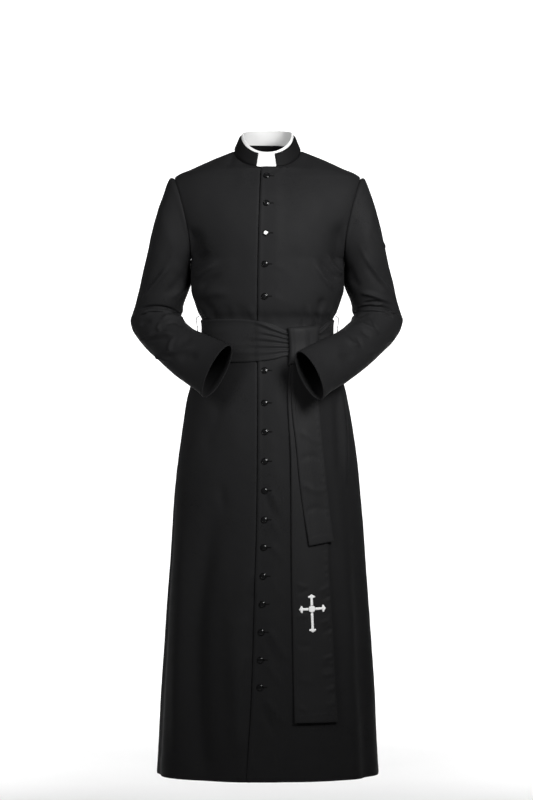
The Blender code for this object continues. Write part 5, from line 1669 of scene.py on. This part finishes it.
def fine_sash():
    round_, rows = 224, 46
    edge_marks = np.linspace(-180, 180, round_ + 1)[:-1]
    degrees = edge_marks
    share = np.concatenate(
        [
            0.05 * np.linspace(0, 1, 5)[:-1] ** 1.5,
            np.linspace(0.05, 0.95, rows - 8),
            1 - 0.05 * np.linspace(1, 0, 5)[1:] ** 1.5,
        ]
    )
    rows = len(share)
    s, d = np.meshgrid(share, degrees, indexing="ij")
    bottom, top = sash_bottom_at(d), sash_top_at(d)
    z = bottom + (top - bottom) * s
    turn = np.radians(d)
    low = SASH_GAP + over_lap(turn, z)
    pleats = []
    for points, wide, high, other, begin, end in SASH_PLEATS:
        pleats.append(
            row([(p / 120, q) for p, q in points], wide, high, other, begin, end)
        )
    rise = creases(d / 120, s, pleats)
    rise = rise + 0.00035 * wobble(d / 400, z * 1.0, 0.09, 31)
    # Folded edges: a soft round lip at the top and bottom.
    high_gap = (1 - s) * (top - bottom)
    low_gap = s * (top - bottom)
    lip = 0.0007 * np.exp(-(((high_gap - 0.003) / 0.0022) ** 2))
    lip = lip + 0.0007 * np.exp(-(((low_gap - 0.003) / 0.0022) ** 2))
    lip = lip - 0.0006 * np.exp(-((high_gap / 0.0010) ** 2))
    lip = lip - 0.0006 * np.exp(-((low_gap / 0.0010) ** 2))
    cloth_high = SASH_CLOTH + np.maximum(rise, -0.0008) + 0.0006 + lip
    base_low = np.minimum(low + np.maximum(rise, 0) * 0.55, low + cloth_high - 0.0012)
    outer = body(turn, z, low + cloth_high)
    inner = body(turn, z, base_low)
    uv = np.stack([turn * 0.15, z], -1)
    return closed_wall("sash_band", outer, inner, grid_faces(rows - 1, round_, True), uv)


KNOT_CREASES = [
    # (across, down), widths as shares
    row([(0.46, 0.00), (0.47, 0.35), (0.45, 0.75), (0.46, 1.0)], 0.07, 0.9, 0.10, 0.1, 0.1),
    row([(0.62, 0.02), (0.64, 0.40), (0.60, 1.0)], 0.05, -0.6, 0.07, 0.3, 0.2),
    row([(0.10, 0.00), (0.12, 0.50), (0.10, 1.0)], 0.035, -0.7, 0.045, 0.05, 0.1),
    row([(0.84, 0.05), (0.86, 0.55), (0.82, 1.0)], 0.06, 0.7, 0.06, 0.2, 0.2),
    row([(0.20, 0.62), (0.45, 0.70), (0.80, 0.64)], 0.05, -0.5, 0.06, 0.3, 0.3),
    row([(0.15, 0.88), (0.50, 0.93), (0.85, 0.87)], 0.04, 0.7, 0.05, 0.3, 0.3),
]


def fine_knot():
    """The stretch that crosses over the sash, its edges folded under."""
    columns, rows = 56, 60
    u = np.linspace(0, 1, columns + 1)
    v = np.linspace(0, 1, rows + 1)
    u = 0.5 - 0.5 * np.cos(math.pi * u) * (0.55 + 0.45 * np.abs(np.cos(math.pi * u)))
    u = (u - u[0]) / (u[-1] - u[0])
    v = 0.5 - 0.5 * np.cos(math.pi * v) * (0.55 + 0.45 * np.abs(np.cos(math.pi * v)))
    v = (v - v[0]) / (v[-1] - v[0])
    v, u = np.meshgrid(v, u, indexing="ij")
    bow = 0.0022 * (1 - (2 * u - 1) ** 2)
    z_top = KNOT_TOP + 0.0046 * u + bow * 0.4
    z = z_top + (KNOT_BOTTOM - z_top) * v
    pinch = 0.0020 * np.sin(math.pi * v) * (1 - 2 * u)
    x = KNOT_LEFT + (KNOT_RIGHT - KNOT_LEFT) * u + 0.002 * (v - 0.5) + pinch
    crown = (1 - np.abs(2 * u - 1) ** 9.0) ** 0.5
    length = (1 - np.abs(2 * v - 1) ** 10.0) ** 0.5
    high = 0.0072 + (KNOT_BULGE - 0.0072) * crown * length
    high = high + creases(u, v, KNOT_CREASES) * length * crown
    high = high + 0.0016 * np.sin(math.pi * u) * length
    turn = turn_of_x(x, z)
    outer = body(turn, z, high)
    inner = body(turn, z, np.maximum(high - 0.0020, 0.0042))
    return grid_wall("sash_knot", outer, inner)


# The hanging ends' slight waves and the marks of their pressed folds.
LONG_CREASES = [
    row([(295, 584), (301, 586), (308, 589)], 2.0, 0.42, 2.4),
    row([(296, 594), (303, 592), (309, 588)], 2.0, -0.40, 2.4),
    row([(317, 592), (323, 590), (330, 586)], 2.0, 0.60, 2.4, 0.4, 0.2),
    row([(320, 600), (325, 598), (331, 594)], 1.8, -0.40, 2.0, 0.4, 0.2),
    row([(295, 618), (302, 616), (309, 617)], 2.4, 0.40, 2.8),
    row([(318, 624), (324, 622), (331, 619)], 2.0, 0.52, 2.2, 0.4, 0.2),
    row([(319, 633), (326, 631), (332, 627)], 2.0, -0.38, 2.4, 0.4, 0.2),
    row([(296, 643), (303, 646), (312, 646)], 3.0, -0.34, 3.0),
    row([(321, 660), (327, 658), (333, 655)], 1.8, 0.62, 2.0, 0.4, 0.2),
    row([(319, 673), (326, 675), (333, 673)], 2.0, 0.56, 2.4, 0.4, 0.2),
    row([(320, 666), (327, 667), (333, 665)], 1.8, -0.45, 2.0, 0.4, 0.2),
    row([(324, 692), (330, 689), (335, 685)], 2.0, 0.56, 2.2, 0.4, 0.2),
    row([(323, 706), (330, 704), (336, 699)], 2.0, 0.46, 2.4, 0.4, 0.2),
    row([(297, 706), (302, 709), (308, 713)], 2.4, 0.40, 2.6),
    row([(298, 677), (305, 681), (314, 681)], 3.4, 0.30, 3.8),
    row([(312, 560), (309, 640), (311, 720)], 8.0, 0.5, 8.0, 0.3, 0.2),
]
SHORT_CREASES = [
    row([(296, 430), (308, 437), (322, 446)], 3.0, 0.5, 3.0),
    row([(297, 462), (310, 456), (325, 460)], 3.0, -0.45, 3.2),
    row([(299, 482), (312, 490), (327, 492)], 3.0, 0.5, 3.2),
    row([(303, 515), (314, 508), (329, 512)], 3.0, -0.4, 3.2),
    row([(304, 410), (309, 470), (318, 535)], 6.0, 0.6, 6.0, 0.3, 0.3),
]


def foot_stands(foot):
    """How far an end's foot hangs clear of what is behind it."""
    return 0.0032 * smooth_step(0.085, 0.0, foot)


def fine_end(name, table, columns, rows, slant, waves, hem_side, puckered=1.0):
    top, bottom = table[0][0], table[-1][0]
    left, right, height = [curve_through(table, c) for c in (1, 2, 3)]
    across = np.concatenate(
        [
            0.04 * np.linspace(0, 1, 4)[:-1] ** 1.5,
            np.linspace(0.04, 0.96, columns - 5),
            1 - 0.04 * np.linspace(1, 0, 4)[1:] ** 1.5,
        ]
    )
    down = np.concatenate(
        [np.linspace(0, 0.985, rows - 4), 1 - 0.015 * np.linspace(1, 0, 6)[1:] ** 1.5]
    )
    v, u = np.meshgrid(down, across, indexing="ij")
    level = top + (bottom - top) * v
    z = level + slant * u * smooth_step(0.6, 1.0, v)
    x = left(level) + (right(level) - left(level)) * u
    turn = turn_of_x(x, z)
    high = height(level)
    plain = body(turn, z, high)
    px, py = shown_at(plain)
    wave = np.maximum(2.4 * creases(px, py, waves), -0.0012)
    width = right(level) - left(level)
    side_gap = np.minimum(u, 1 - u) * width
    foot = np.maximum((1 - v) * (top - bottom), 0)
    # Turned edges: doubled cloth along both sides and the foot.
    turned = 0.0004 * smooth_step(0.0092, 0.0080, side_gap)
    turned = np.maximum(turned, 0.0004 * smooth_step(0.0190, 0.0178, foot))
    round_off = -0.0007 * np.exp(-((side_gap / 0.0009) ** 2))
    round_off = round_off - 0.0007 * np.exp(-((foot / 0.0009) ** 2))
    # Stitching pulls a fine line in.
    line = -0.00022 * np.exp(-(((side_gap - 0.0072) / 0.0007) ** 2))
    line = line - 0.00022 * np.exp(-(((foot - 0.0165) / 0.0007) ** 2))
    rise = wave + turned + round_off + line + 0.00015 * wobble(x, z, 0.05, 41)
    # The foot hangs a little clear, and the free side is puckered by its
    # stitching.
    clear = foot_stands(foot)
    free = (1 - u) * width if hem_side > 0 else u * width
    pucker = 0.0
    for k, place in enumerate(np.arange(top - 0.06, bottom + 0.02, -0.0172)):
        here = place + 0.0022 * math.sin(k * 2.4)
        tall = 0.0007 + 0.0003 * math.sin(k * 1.7)
        pucker = pucker + tall * np.exp(-(((z - here) / 0.0034) ** 2)) * np.exp(
            -(((free - 0.0058) / 0.0030) ** 2)
        )
        pucker = pucker - 0.6 * tall * np.exp(
            -(((z - here + 0.0086) / 0.0030) ** 2)
        ) * np.exp(-(((free - 0.0050) / 0.0045) ** 2))
    rise = rise + puckered * pucker
    outer = body(turn, z, high + SASH_CLOTH + 0.0004 + rise + clear)
    inner = body(turn, z, high + np.maximum(wave, 0) * 0.6 + clear)
    thing = grid_wall(name, outer, inner)
    return thing


def dashes(name, places, radius, sides=6):
    """Stitches: small closed spindles, each from one point to another."""
    points, faces = [], []
    for a, b, up in places:
        a, b, up = np.array(a), np.array(b), np.array(up)
        way = unit(b - a)
        across = unit(np.cross(way, up))
        lift = np.cross(across, way)
        rings = ((0.0, 0.35), (0.2, 0.9), (0.5, 1.0), (0.8, 0.9), (1.0, 0.35))
        start = len(points)
        for t, r in rings:
            middle = a + (b - a) * t + lift * radius * (0.4 * math.sin(math.pi * t))
            for k in range(sides):
                angle = 2 * math.pi * k / sides
                points.append(
                    middle
                    + radius * r * (across * math.cos(angle) + lift * math.sin(angle))
                )
        for i in range(len(rings) - 1):
            for k in range(sides):
                n = (k + 1) % sides
                p, q = start + i * sides, start + (i + 1) * sides
                faces.append([p + k, p + n, q + n, q + k])
        faces.append([start + k for k in reversed(range(sides))])
        last = start + (len(rings) - 1) * sides
        faces.append([last + k for k in range(sides)])
    thing = new_mesh(name, points, faces)
    fix_normals(thing)
    return thing


def fix_normals(thing):
    edit = bmesh.new()
    edit.from_mesh(thing.data)
    bmesh.ops.recalc_face_normals(edit, faces=edit.faces)
    edit.to_mesh(thing.data)
    edit.free()


def end_stitches(name, table, slant, sides, step, foot=True):
    """Stitches near the sides and the foot of a hanging end."""
    top, bottom = table[0][0], table[-1][0]
    left, right, height = [curve_through(table, c) for c in (1, 2, 3)]
    places = []

    def at(u, level):
        v = (level - top) / (bottom - top)
        z = level + slant * u * float(smooth_step(0.6, 1.0, v))
        x = float(left(level)) + float(right(level) - left(level)) * u
        turn = turn_of_x(np.array(x), np.array(z))
        high = float(height(level)) + SASH_CLOTH + 0.0009
        high += float(foot_stands(np.array(max(level - bottom, 0.0))))
        return body(turn, np.array(z), high), body_normal(turn, np.array(z))

    count = int((top - 0.04 - bottom - 0.018) / step)
    for side in sides:
        for k in range(count):
            level = top - 0.04 - step * k
            if level - step * 0.6 < bottom + 0.017:
                break
            wide = float(right(level) - left(level))
            u = 0.0072 / wide if side < 0 else 1 - 0.0072 / wide
            a, up = at(u, level)
            b, _ = at(u, level - step * 0.62)
            places.append((a, b, up))
    if foot:
        level = bottom + 0.0165
        wide = float(right(level) - left(level))
        n = int((wide - 0.0144) / step)
        for k in range(n):
            u0 = (0.0072 + step * k) / wide
            u1 = u0 + step * 0.62 / wide
            a, up = at(u0, level)
            b, _ = at(u1, level)
            places.append((a, b, up))
    return dashes(name, places, 0.00026)


# ------------------------------------------------------------------ cross
def cross_outline(grow=0.0):
    outline = []
    for length, degrees in (
        (CROSS_RIGHT, 0),
        (CROSS_DOWN, 270),
        (CROSS_LEFT, 180),
        (CROSS_UP, 90),
    ):
        turn = math.radians(degrees)
        c, s = math.cos(turn), math.sin(turn)
        side = []
        # The bar narrows a little before its buds.
        neck = length - BUD_BACK - CROSS_BUD
        for t in np.linspace(0.12, 0.92, 7):
            along = CROSS_BAR + (neck - CROSS_BAR) * t
            side.append((along, CROSS_BAR * (1 - 0.10 * t)))
        for a in np.radians(np.linspace(204, 10, 16)):
            side.append(
                (
                    length - BUD_BACK + CROSS_BUD * math.cos(a),
                    BUD_OUT + CROSS_BUD * math.sin(a),
                )
            )
        tip = [
            (length - CROSS_TIP + CROSS_TIP * math.cos(a), CROSS_TIP * math.sin(a))
            for a in np.radians(np.linspace(62, -62, 15))
        ]
        local = side + tip + [(x, -y) for x, y in reversed(side)]
        outline += [(x * c - y * s, x * s + y * c) for x, y in local][::-1]
        a = math.radians(degrees - 45)
        outline.append(
            (
                CROSS_BAR * math.copysign(1, math.cos(a)),
                CROSS_BAR * math.copysign(1, math.sin(a)),
            )
        )
    points = np.array(outline)
    if grow:
        before, after = np.roll(points, 1, 0), np.roll(points, -1, 0)
        way = unit(after - before)
        normal = np.stack([way[:, 1], -way[:, 0]], -1)
        area = np.sum(before[:, 0] * points[:, 1] - points[:, 0] * before[:, 1])
        points = points + normal * (grow if area > 0 else -grow)
    lean = np.array(
        [
            [math.cos(CROSS_LEAN), -math.sin(CROSS_LEAN)],
            [math.sin(CROSS_LEAN), math.cos(CROSS_LEAN)],
        ]
    )
    return points @ lean.T


def edge_distance(points, loop):
    """Distance of points from a closed outline."""
    best = np.full(len(points), 1e9)
    for a, b in zip(loop, np.roll(loop, -1, 0)):
        step = b - a
        t = np.clip(((points - a) @ step) / max(step @ step, 1e-15), 0, 1)
        best = np.minimum(best, np.linalg.norm(points - a - t[:, None] * step, axis=1))
    return best


def inside_outline(points, loop):
    x, y = points[:, 0], points[:, 1]
    hit = np.zeros(len(points), bool)
    for a, b in zip(loop, np.roll(loop, -1, 0)):
        crosses = (a[1] > y) != (b[1] > y)
        with np.errstate(divide="ignore", invalid="ignore"):
            at = a[0] + (y - a[1]) / (b[1] - a[1]) * (b[0] - a[0])
        hit ^= crosses & (x < at)
    return hit


def fine_cross(name, grow, low, base_high, dome, step, stitch=0.0):
    loop = cross_outline(grow)
    near, far = loop.min(0), loop.max(0)
    gx, gy = np.meshgrid(
        np.arange(near[0], far[0], step), np.arange(near[1], far[1], step)
    )
    gx[1::2] += step / 2
    spots = np.stack([gx.ravel(), gy.ravel()], 1)
    spots = spots[inside_outline(spots, loop)]
    spots = spots[edge_distance(spots, loop) > step * 0.55]
    flat = [Vector(p) for p in loop] + [Vector(p) for p in spots]
    found, _, faces, *_ = delaunay_2d_cdt(flat, [], [list(range(len(loop)))], 1, 1e-7)
    found = np.array([[p[0], p[1]] for p in found])
    heights = curve_through(LONG_END, 3)
    far_in = edge_distance(found, loop)
    rise = dome * np.sqrt(np.clip(1 - (1 - np.clip(far_in / 0.0024, 0, 1)) ** 2, 0, 1))
    if stitch:
        # Satin stitches run across each bar.
        upright = np.abs(found[:, 0]) < CROSS_BAR * 1.7
        run = np.where(upright, found[:, 1], found[:, 0])
        rise = rise + stitch * np.sin(run * 2 * math.pi / 0.0011) * (far_in > 1e-5)
    x, z = CROSS_X + found[:, 0], CROSS_Z + found[:, 1]

    def lay(extra):
        return body(turn_of_x(x, z), z, heights(z) + SASH_CLOTH + 0.0006 + extra)

    faces = [list(f) for f in faces]
    outer, inner = lay(low + base_high + rise), lay(np.full(len(found), low))
    count = len(found)
    uses = {}
    for f in faces:
        for a, b in zip(f, f[1:] + f[:1]):
            uses.setdefault((min(a, b), max(a, b)), []).append((a, b))
    walls = faces + [[v + count for v in reversed(f)] for f in faces]
    walls += [
        [b, a, a + count, b + count]
        for (a, b), in (v for v in uses.values() if len(v) == 1)
    ]
    thing = new_mesh(
        name, np.concatenate([outer, inner]), walls, uv=np.concatenate([found, found])
    )
    fix_normals(thing)
    return thing


# ---------------------------------------------------------------- buttons
def fine_button(number, z, x):
    """A domed button with a rim round a shallow dish."""
    r = BUTTON_RADIUS
    profile = [
        (0.00, 0.00400),
        (0.14, 0.00397),
        (0.28, 0.00388),
        (0.42, 0.00372),
        (0.55, 0.00350),
        (0.66, 0.00325),
        (0.74, 0.00301),
        (0.79, 0.00277),
        (0.815, 0.00262),
        (0.84, 0.00272),
        (0.885, 0.00276),
        (0.94, 0.00256),
        (0.985, 0.00215),
        (1.00, 0.00165),
        (0.985, 0.00120),
        (0.93, 0.00088),
        (0.80, 0.00070),
        (0.50, 0.00064),
        (0.00, 0.00062),
    ]
    sides = 48
    rings = profile[1:-1]
    points = [(0, 0, profile[0][1])]
    for radius, height in rings:
        for k in range(sides):
            a = 2 * math.pi * k / sides
            points.append((r * radius * math.cos(a), r * radius * math.sin(a), height))
    points.append((0, 0, profile[-1][1]))
    faces = []
    for k in range(sides):
        n = (k + 1) % sides
        faces.append([0, 1 + k, 1 + n])
        for i in range(len(rings) - 1):
            a, b = 1 + i * sides, 1 + (i + 1) * sides
            faces.append([a + k, b + k, b + n, a + n])
        last = 1 + (len(rings) - 1) * sides
        faces.append([len(points) - 1, last + n, last + k])
    turn = turn_of_x(np.array(x), np.array(z))
    rise = panel_rise(turn.reshape(1, 1), np.array([[z]]))[2][0, 0]
    seat = Vector(body(turn, np.array(z), LAP_LIFT + rise - 0.0002))
    normal = Vector(body_normal(turn, np.array(z)))
    place = Matrix.Translation(seat) @ normal.to_track_quat("Z", "Y").to_matrix().to_4x4()
    thing = new_mesh(
        f"button_{number:02d}_fine",
        [place @ Vector(p) for p in points],
        faces,
        uv=np.array([[p[0] / r, p[1] / r] for p in points]),
    )
    fix_normals(thing)
    return thing


def buttonholes(name):
    """The worked slits beside the buttons: two whipped lips."""
    points, faces = [], []
    columns, rows = 26, 10
    for number, (z0, x0) in enumerate(BUTTONS, 1):
        start = len(points)
        first, last = x0 + 0.0050, x0 + 0.0050 + 0.0112
        xs = np.linspace(first, last, columns)
        ws = np.linspace(-0.00135, 0.00135, rows)
        x, w = np.meshgrid(xs, ws)
        slope = 0.02 * (number % 3 - 1)
        z = z0 + w + (x - first) * slope
        end = np.minimum(x - first, last - x)
        taper = np.sqrt(np.clip(end / 0.0010, 0, 1))
        z = z0 + (z - z0) * (0.35 + 0.65 * taper)
        turn = turn_of_x(x, z)
        rise = panel_rise(turn, z)[2]
        lips = 0.00055 * np.exp(-(((np.abs(w) - 0.00072) / 0.00036) ** 2)) * taper
        whip = 0.00008 * np.sin(x * 2 * math.pi / 0.0008) * taper
        slit = -0.0001 * np.exp(-((w / 0.0003) ** 2))
        top = LAP_LIFT * 0.999 + rise + 0.00012 + lips + whip + slit
        lap = lap_lift(plain_body(turn, z)[..., 0]) - LAP_LIFT
        outer = body(turn, z, top + lap).reshape(-1, 3)
        inner = body(turn, z, LAP_LIFT + lap + rise - 0.0006).reshape(-1, 3)
        count = len(outer)
        points += list(outer) + list(inner)
        sheet = grid_faces(rows - 1, columns - 1) + start
        faces += sheet.tolist() + (sheet[:, ::-1] + count).tolist()
        ids = np.arange(count).reshape(rows, columns) + start
        rim = (
            list(ids[0, :])
            + list(ids[1:, -1])
            + list(ids[-1, :-1][::-1])
            + list(ids[1:-1, 0][::-1])
        )
        for a, b in zip(rim, rim[1:] + rim[:1]):
            faces.append([int(b), int(a), int(a) + count, int(b) + count])
    thing = new_mesh(name, points, faces)
    fix_normals(thing)
    return thing


def thread_loop(name, side):
    """A chained thread loop: a fine tube that swells at each link."""
    path = [
        (LOOP_TOP, 0.0016),
        (LOOP_TOP - 0.0012, 0.0044),
        (LOOP_TOP - 0.0050, 0.0112),
        (LOOP_TOP - 0.0130, 0.0122),
        (-0.400, 0.0105),
        (-0.430, 0.0105),
        (LOOP_BOTTOM + 0.012, 0.0085),
        (LOOP_BOTTOM + 0.004, 0.0050),
        (LOOP_BOTTOM, 0.0013),
    ]
    ends = [(side * (float(half_width_at(z)) + out), z) for z, out in path]
    line = path_through(ends, 150)
    middle = np.stack([line[:, 0], 0 * line[:, 0], line[:, 1]], -1)
    way = unit(np.gradient(middle, axis=0))
    flat = np.array([0.0, 1.0, 0.0])
    across = unit(np.cross(way, flat))
    gone = np.concatenate(
        [[0], np.cumsum(np.linalg.norm(np.diff(middle, axis=0), axis=1))]
    )
    sides = 12
    points, faces = [], []
    for i in range(len(middle)):
        swell = 1 + 0.22 * math.sin(gone[i] * 2 * math.pi / 0.0021)
        for k in range(sides):
            a = 2 * math.pi * k / sides
            points.append(
                middle[i]
                + LOOP_RADIUS
                * swell
                * (across[i] * math.cos(a) + flat * (1.15 * math.sin(a)))
            )
    for i in range(len(middle) - 1):
        for k in range(sides):
            n = (k + 1) % sides
            a, b = i * sides, (i + 1) * sides
            faces.append([a + k, a + n, b + n, b + k])
    faces.append(list(reversed(range(sides))))
    faces.append([(len(middle) - 1) * sides + k for k in range(sides)])
    thing = new_mesh(name, points, faces)
    fix_normals(thing)
    return thing


# ------------------------------------------------------- dressing the model
front_right = dress(front_panel("front_right_cloth", -1), WOOL, "black_cloth", "front_right")
front_left = dress(front_panel("front_left_cloth", 1), WOOL, "black_cloth", "front_left")
back_cloth = dress(fine_back(), WOOL, "black_cloth", "back")
sleeve_right = dress(
    fine_sleeve("sleeve_right_cloth", -1, RIGHT_SLEEVE_CREASES),
    WOOL,
    "black_cloth",
    "sleeve_right",
)
sleeve_left = dress(
    fine_sleeve("sleeve_left_cloth", 1, LEFT_SLEEVE_CREASES),
    WOOL,
    "black_cloth",
    "sleeve_left",
)
collar_cloth = dress(fine_collar(), COLLAR_WOOL, "black_cloth", "collar")
white_collar = dress(white_band(), WHITE_BAND, "white_collar", "collar_insert")
sash_band = dress(fine_sash(), SASH_WOOL, "sash_cloth", "belt_wrap")
sash_knot = dress(fine_knot(), SASH_WOOL, "sash_cloth", "belt_knot")
end_long = dress(
    fine_end("sash_end_long", LONG_END, 44, 260, 0.0, LONG_CREASES, 1),
    SASH_WOOL,
    "sash_cloth",
    "belt_end_long",
)
end_short = dress(
    fine_end(
        "sash_end_short", SHORT_END, 30, 130, SHORT_END_SLANT, SHORT_CREASES, 1, 0.6
    ),
    SASH_WOOL,
    "sash_cloth",
    "belt_end_short",
)
stitch_long = dress(
    end_stitches("stitches_long", LONG_END, 0.0, (-1, 1), 0.0042),
    THREAD_BLACK,
    "thread",
)
stitch_short = dress(
    end_stitches("stitches_short", SHORT_END, SHORT_END_SLANT, (-1, 1), 0.0042),
    THREAD_BLACK,
    "thread",
)
cross_white = dress(
    fine_cross("cross_satin", -0.0015, 0.0003, 0.0005, 0.0011, 0.00075, 0.00006),
    WHITE_THREAD,
    "white_embroidery",
    "cross",
)
cross_edge = dress(
    fine_cross("cross_edging", -0.0003, 0.0, 0.00035, 0.0002, 0.0016),
    EDGE_THREAD,
    "white_embroidery",
)
for number, (z, x) in enumerate(BUTTONS, 1):
    pale = number == PALE_BUTTON
    dress(
        fine_button(number, z, x),
        BUTTON_PALE if pale else BUTTON_BLACK,
        "pale_button" if pale else "black_button",
        f"button_{number:02d}",
    )
holes = dress(buttonholes("buttonholes"), THREAD_DARK, "thread")
dress(thread_loop("loop_left_thread", 1), THREAD_BLACK, "thread", "belt_loop_left")
dress(thread_loop("loop_right_thread", -1), THREAD_BLACK, "thread", "belt_loop_right")

# ------------------------------------------------------- floor, light, camera
FLOOR_Z = -1.592


def stage_material():
    made, tree, shader = nodes_of("studio_paper")
    where = add(tree, "ShaderNodeTexCoord")
    grain = add(tree, "ShaderNodeTexNoise")
    grain.inputs["Scale"].default_value = 3.0
    link(tree, where.outputs["Object"], grain.inputs["Vector"])
    colour = ramp(tree, grain.outputs["Fac"], (0.86, 0.86, 0.86), (0.90, 0.90, 0.90))
    link(tree, colour.outputs["Color"], shader.inputs["Base Color"])
    shader.inputs["Roughness"].default_value = 0.9
    shader.inputs["Specular IOR Level"].default_value = 0.1
    # Painted glow: the paper gives off light of its own, rising towards the wall, in place of light falling on it.
    parts = add(tree, "ShaderNodeSeparateXYZ")
    link(tree, where.outputs["Object"], parts.inputs[0])
    glow = add(tree, "ShaderNodeMapRange")
    glow.interpolation_type = "SMOOTHSTEP"
    glow.inputs["From Min"].default_value = 2.2
    glow.inputs["From Max"].default_value = 5.0
    glow.inputs["To Max"].default_value = 0.95
    link(tree, parts.outputs["Y"], glow.inputs["Value"])
    # It glows only in a strip behind the object.
    aside = add(tree, "ShaderNodeMath")
    aside.operation = "ABSOLUTE"
    link(tree, parts.outputs["X"], aside.inputs[0])
    strip = add(tree, "ShaderNodeMapRange")
    strip.interpolation_type = "SMOOTHSTEP"
    strip.inputs["From Min"].default_value = 2.0
    strip.inputs["From Max"].default_value = 3.2
    strip.inputs["To Min"].default_value = 1.0
    strip.inputs["To Max"].default_value = 0.0
    link(tree, aside.outputs[0], strip.inputs["Value"])
    both = add(tree, "ShaderNodeMath")
    both.operation = "MULTIPLY"
    link(tree, glow.outputs["Result"], both.inputs[0])
    link(tree, strip.outputs["Result"], both.inputs[1])
    link(tree, both.outputs[0], shader.inputs["Emission Strength"])
    shader.inputs["Emission Color"].default_value = (1.0, 1.0, 1.0, 1)
    return made


def backdrop():
    """A floor that curves up into a wall behind."""
    radius, half = 1.6, 16.0
    profile = [(-16.0, FLOOR_Z)]
    for k in range(13):
        a = math.radians(90 * k / 12)
        profile.append(
            (10.4 + radius * math.sin(a), FLOOR_Z + radius * (1 - math.cos(a)))
        )
    profile.append((12.0, 8.0))
    points, faces = [], []
    for y, z in profile:
        points += [(-half, y, z), (half, y, z)]
    for i in range(len(profile) - 1):
        a = 2 * i
        faces.append([a, a + 1, a + 3, a + 2])
    thing = new_mesh("backdrop", points, faces, ride=None)
    thing.data.materials.append(stage_material())


backdrop()

world = bpy.context.scene.world or bpy.data.worlds.new("studio")
bpy.context.scene.world = world
world.use_nodes = True
world.node_tree.nodes["Background"].inputs["Color"].default_value = (1.0, 1.0, 1.0, 1)
world.node_tree.nodes["Background"].inputs["Strength"].default_value = 0.05


def area_light(name, place, aim, size, power, size_y=None, spread=180):
    data = bpy.data.lights.new(name, "AREA")
    data.energy = power
    data.size = size
    data.spread = math.radians(spread)
    if size_y:
        data.shape = "RECTANGLE"
        data.size_y = size_y
    lamp = bpy.data.objects.new(name, data)
    lamp.location = place
    lamp.rotation_euler = (
        (Vector(aim) - Vector(place)).to_track_quat("-Z", "Y").to_euler()
    )
    bpy.context.scene.collection.objects.link(lamp)
    return lamp


area_light("key", (1.0, -1.5, 0.4), (0.05, 0, -0.2), 0.8, 12.6, spread=85)
fill = area_light("fill", (-1.3, -1.6, 0.2), (-0.05, 0, -0.25), 0.9, 7.1, spread=90)
fill.visible_glossy = False
area_light("backdrop_right", (1.9, 1.6, 0.3), (1.5, 5.0, -1.2), 1.2, 85, 2.6)
area_light("backdrop_left", (-1.9, 1.6, 0.3), (-1.5, 5.0, -1.2), 1.2, 85, 2.6)
for side, power in ((-1, 9), (1, 5)):
    behind = area_light(
        f"behind_{power}", (side * 1.9, 2.4, 0.7), (0, 0, -0.35), 1.0, power, spread=85
    )
    behind.visible_glossy = False

camera_data = bpy.data.cameras.new("camera")
camera = bpy.data.objects.new("camera", camera_data)
bpy.context.scene.collection.objects.link(camera)
camera.location = (CAMERA_X, -CAMERA_FAR, CAMERA_Z)
camera.rotation_euler = (math.radians(90), 0, 0)
camera_data.sensor_fit = "VERTICAL"
camera_data.sensor_height = 36.0
camera_data.lens = 36.0 * CAMERA_FAR / (METRE_PER_PIXEL * IMAGE_H)
camera_data.clip_end = 100
bpy.context.scene.camera = camera
bpy.context.scene.view_settings.view_transform = "Standard"
bpy.context.scene.view_settings.look = "None"
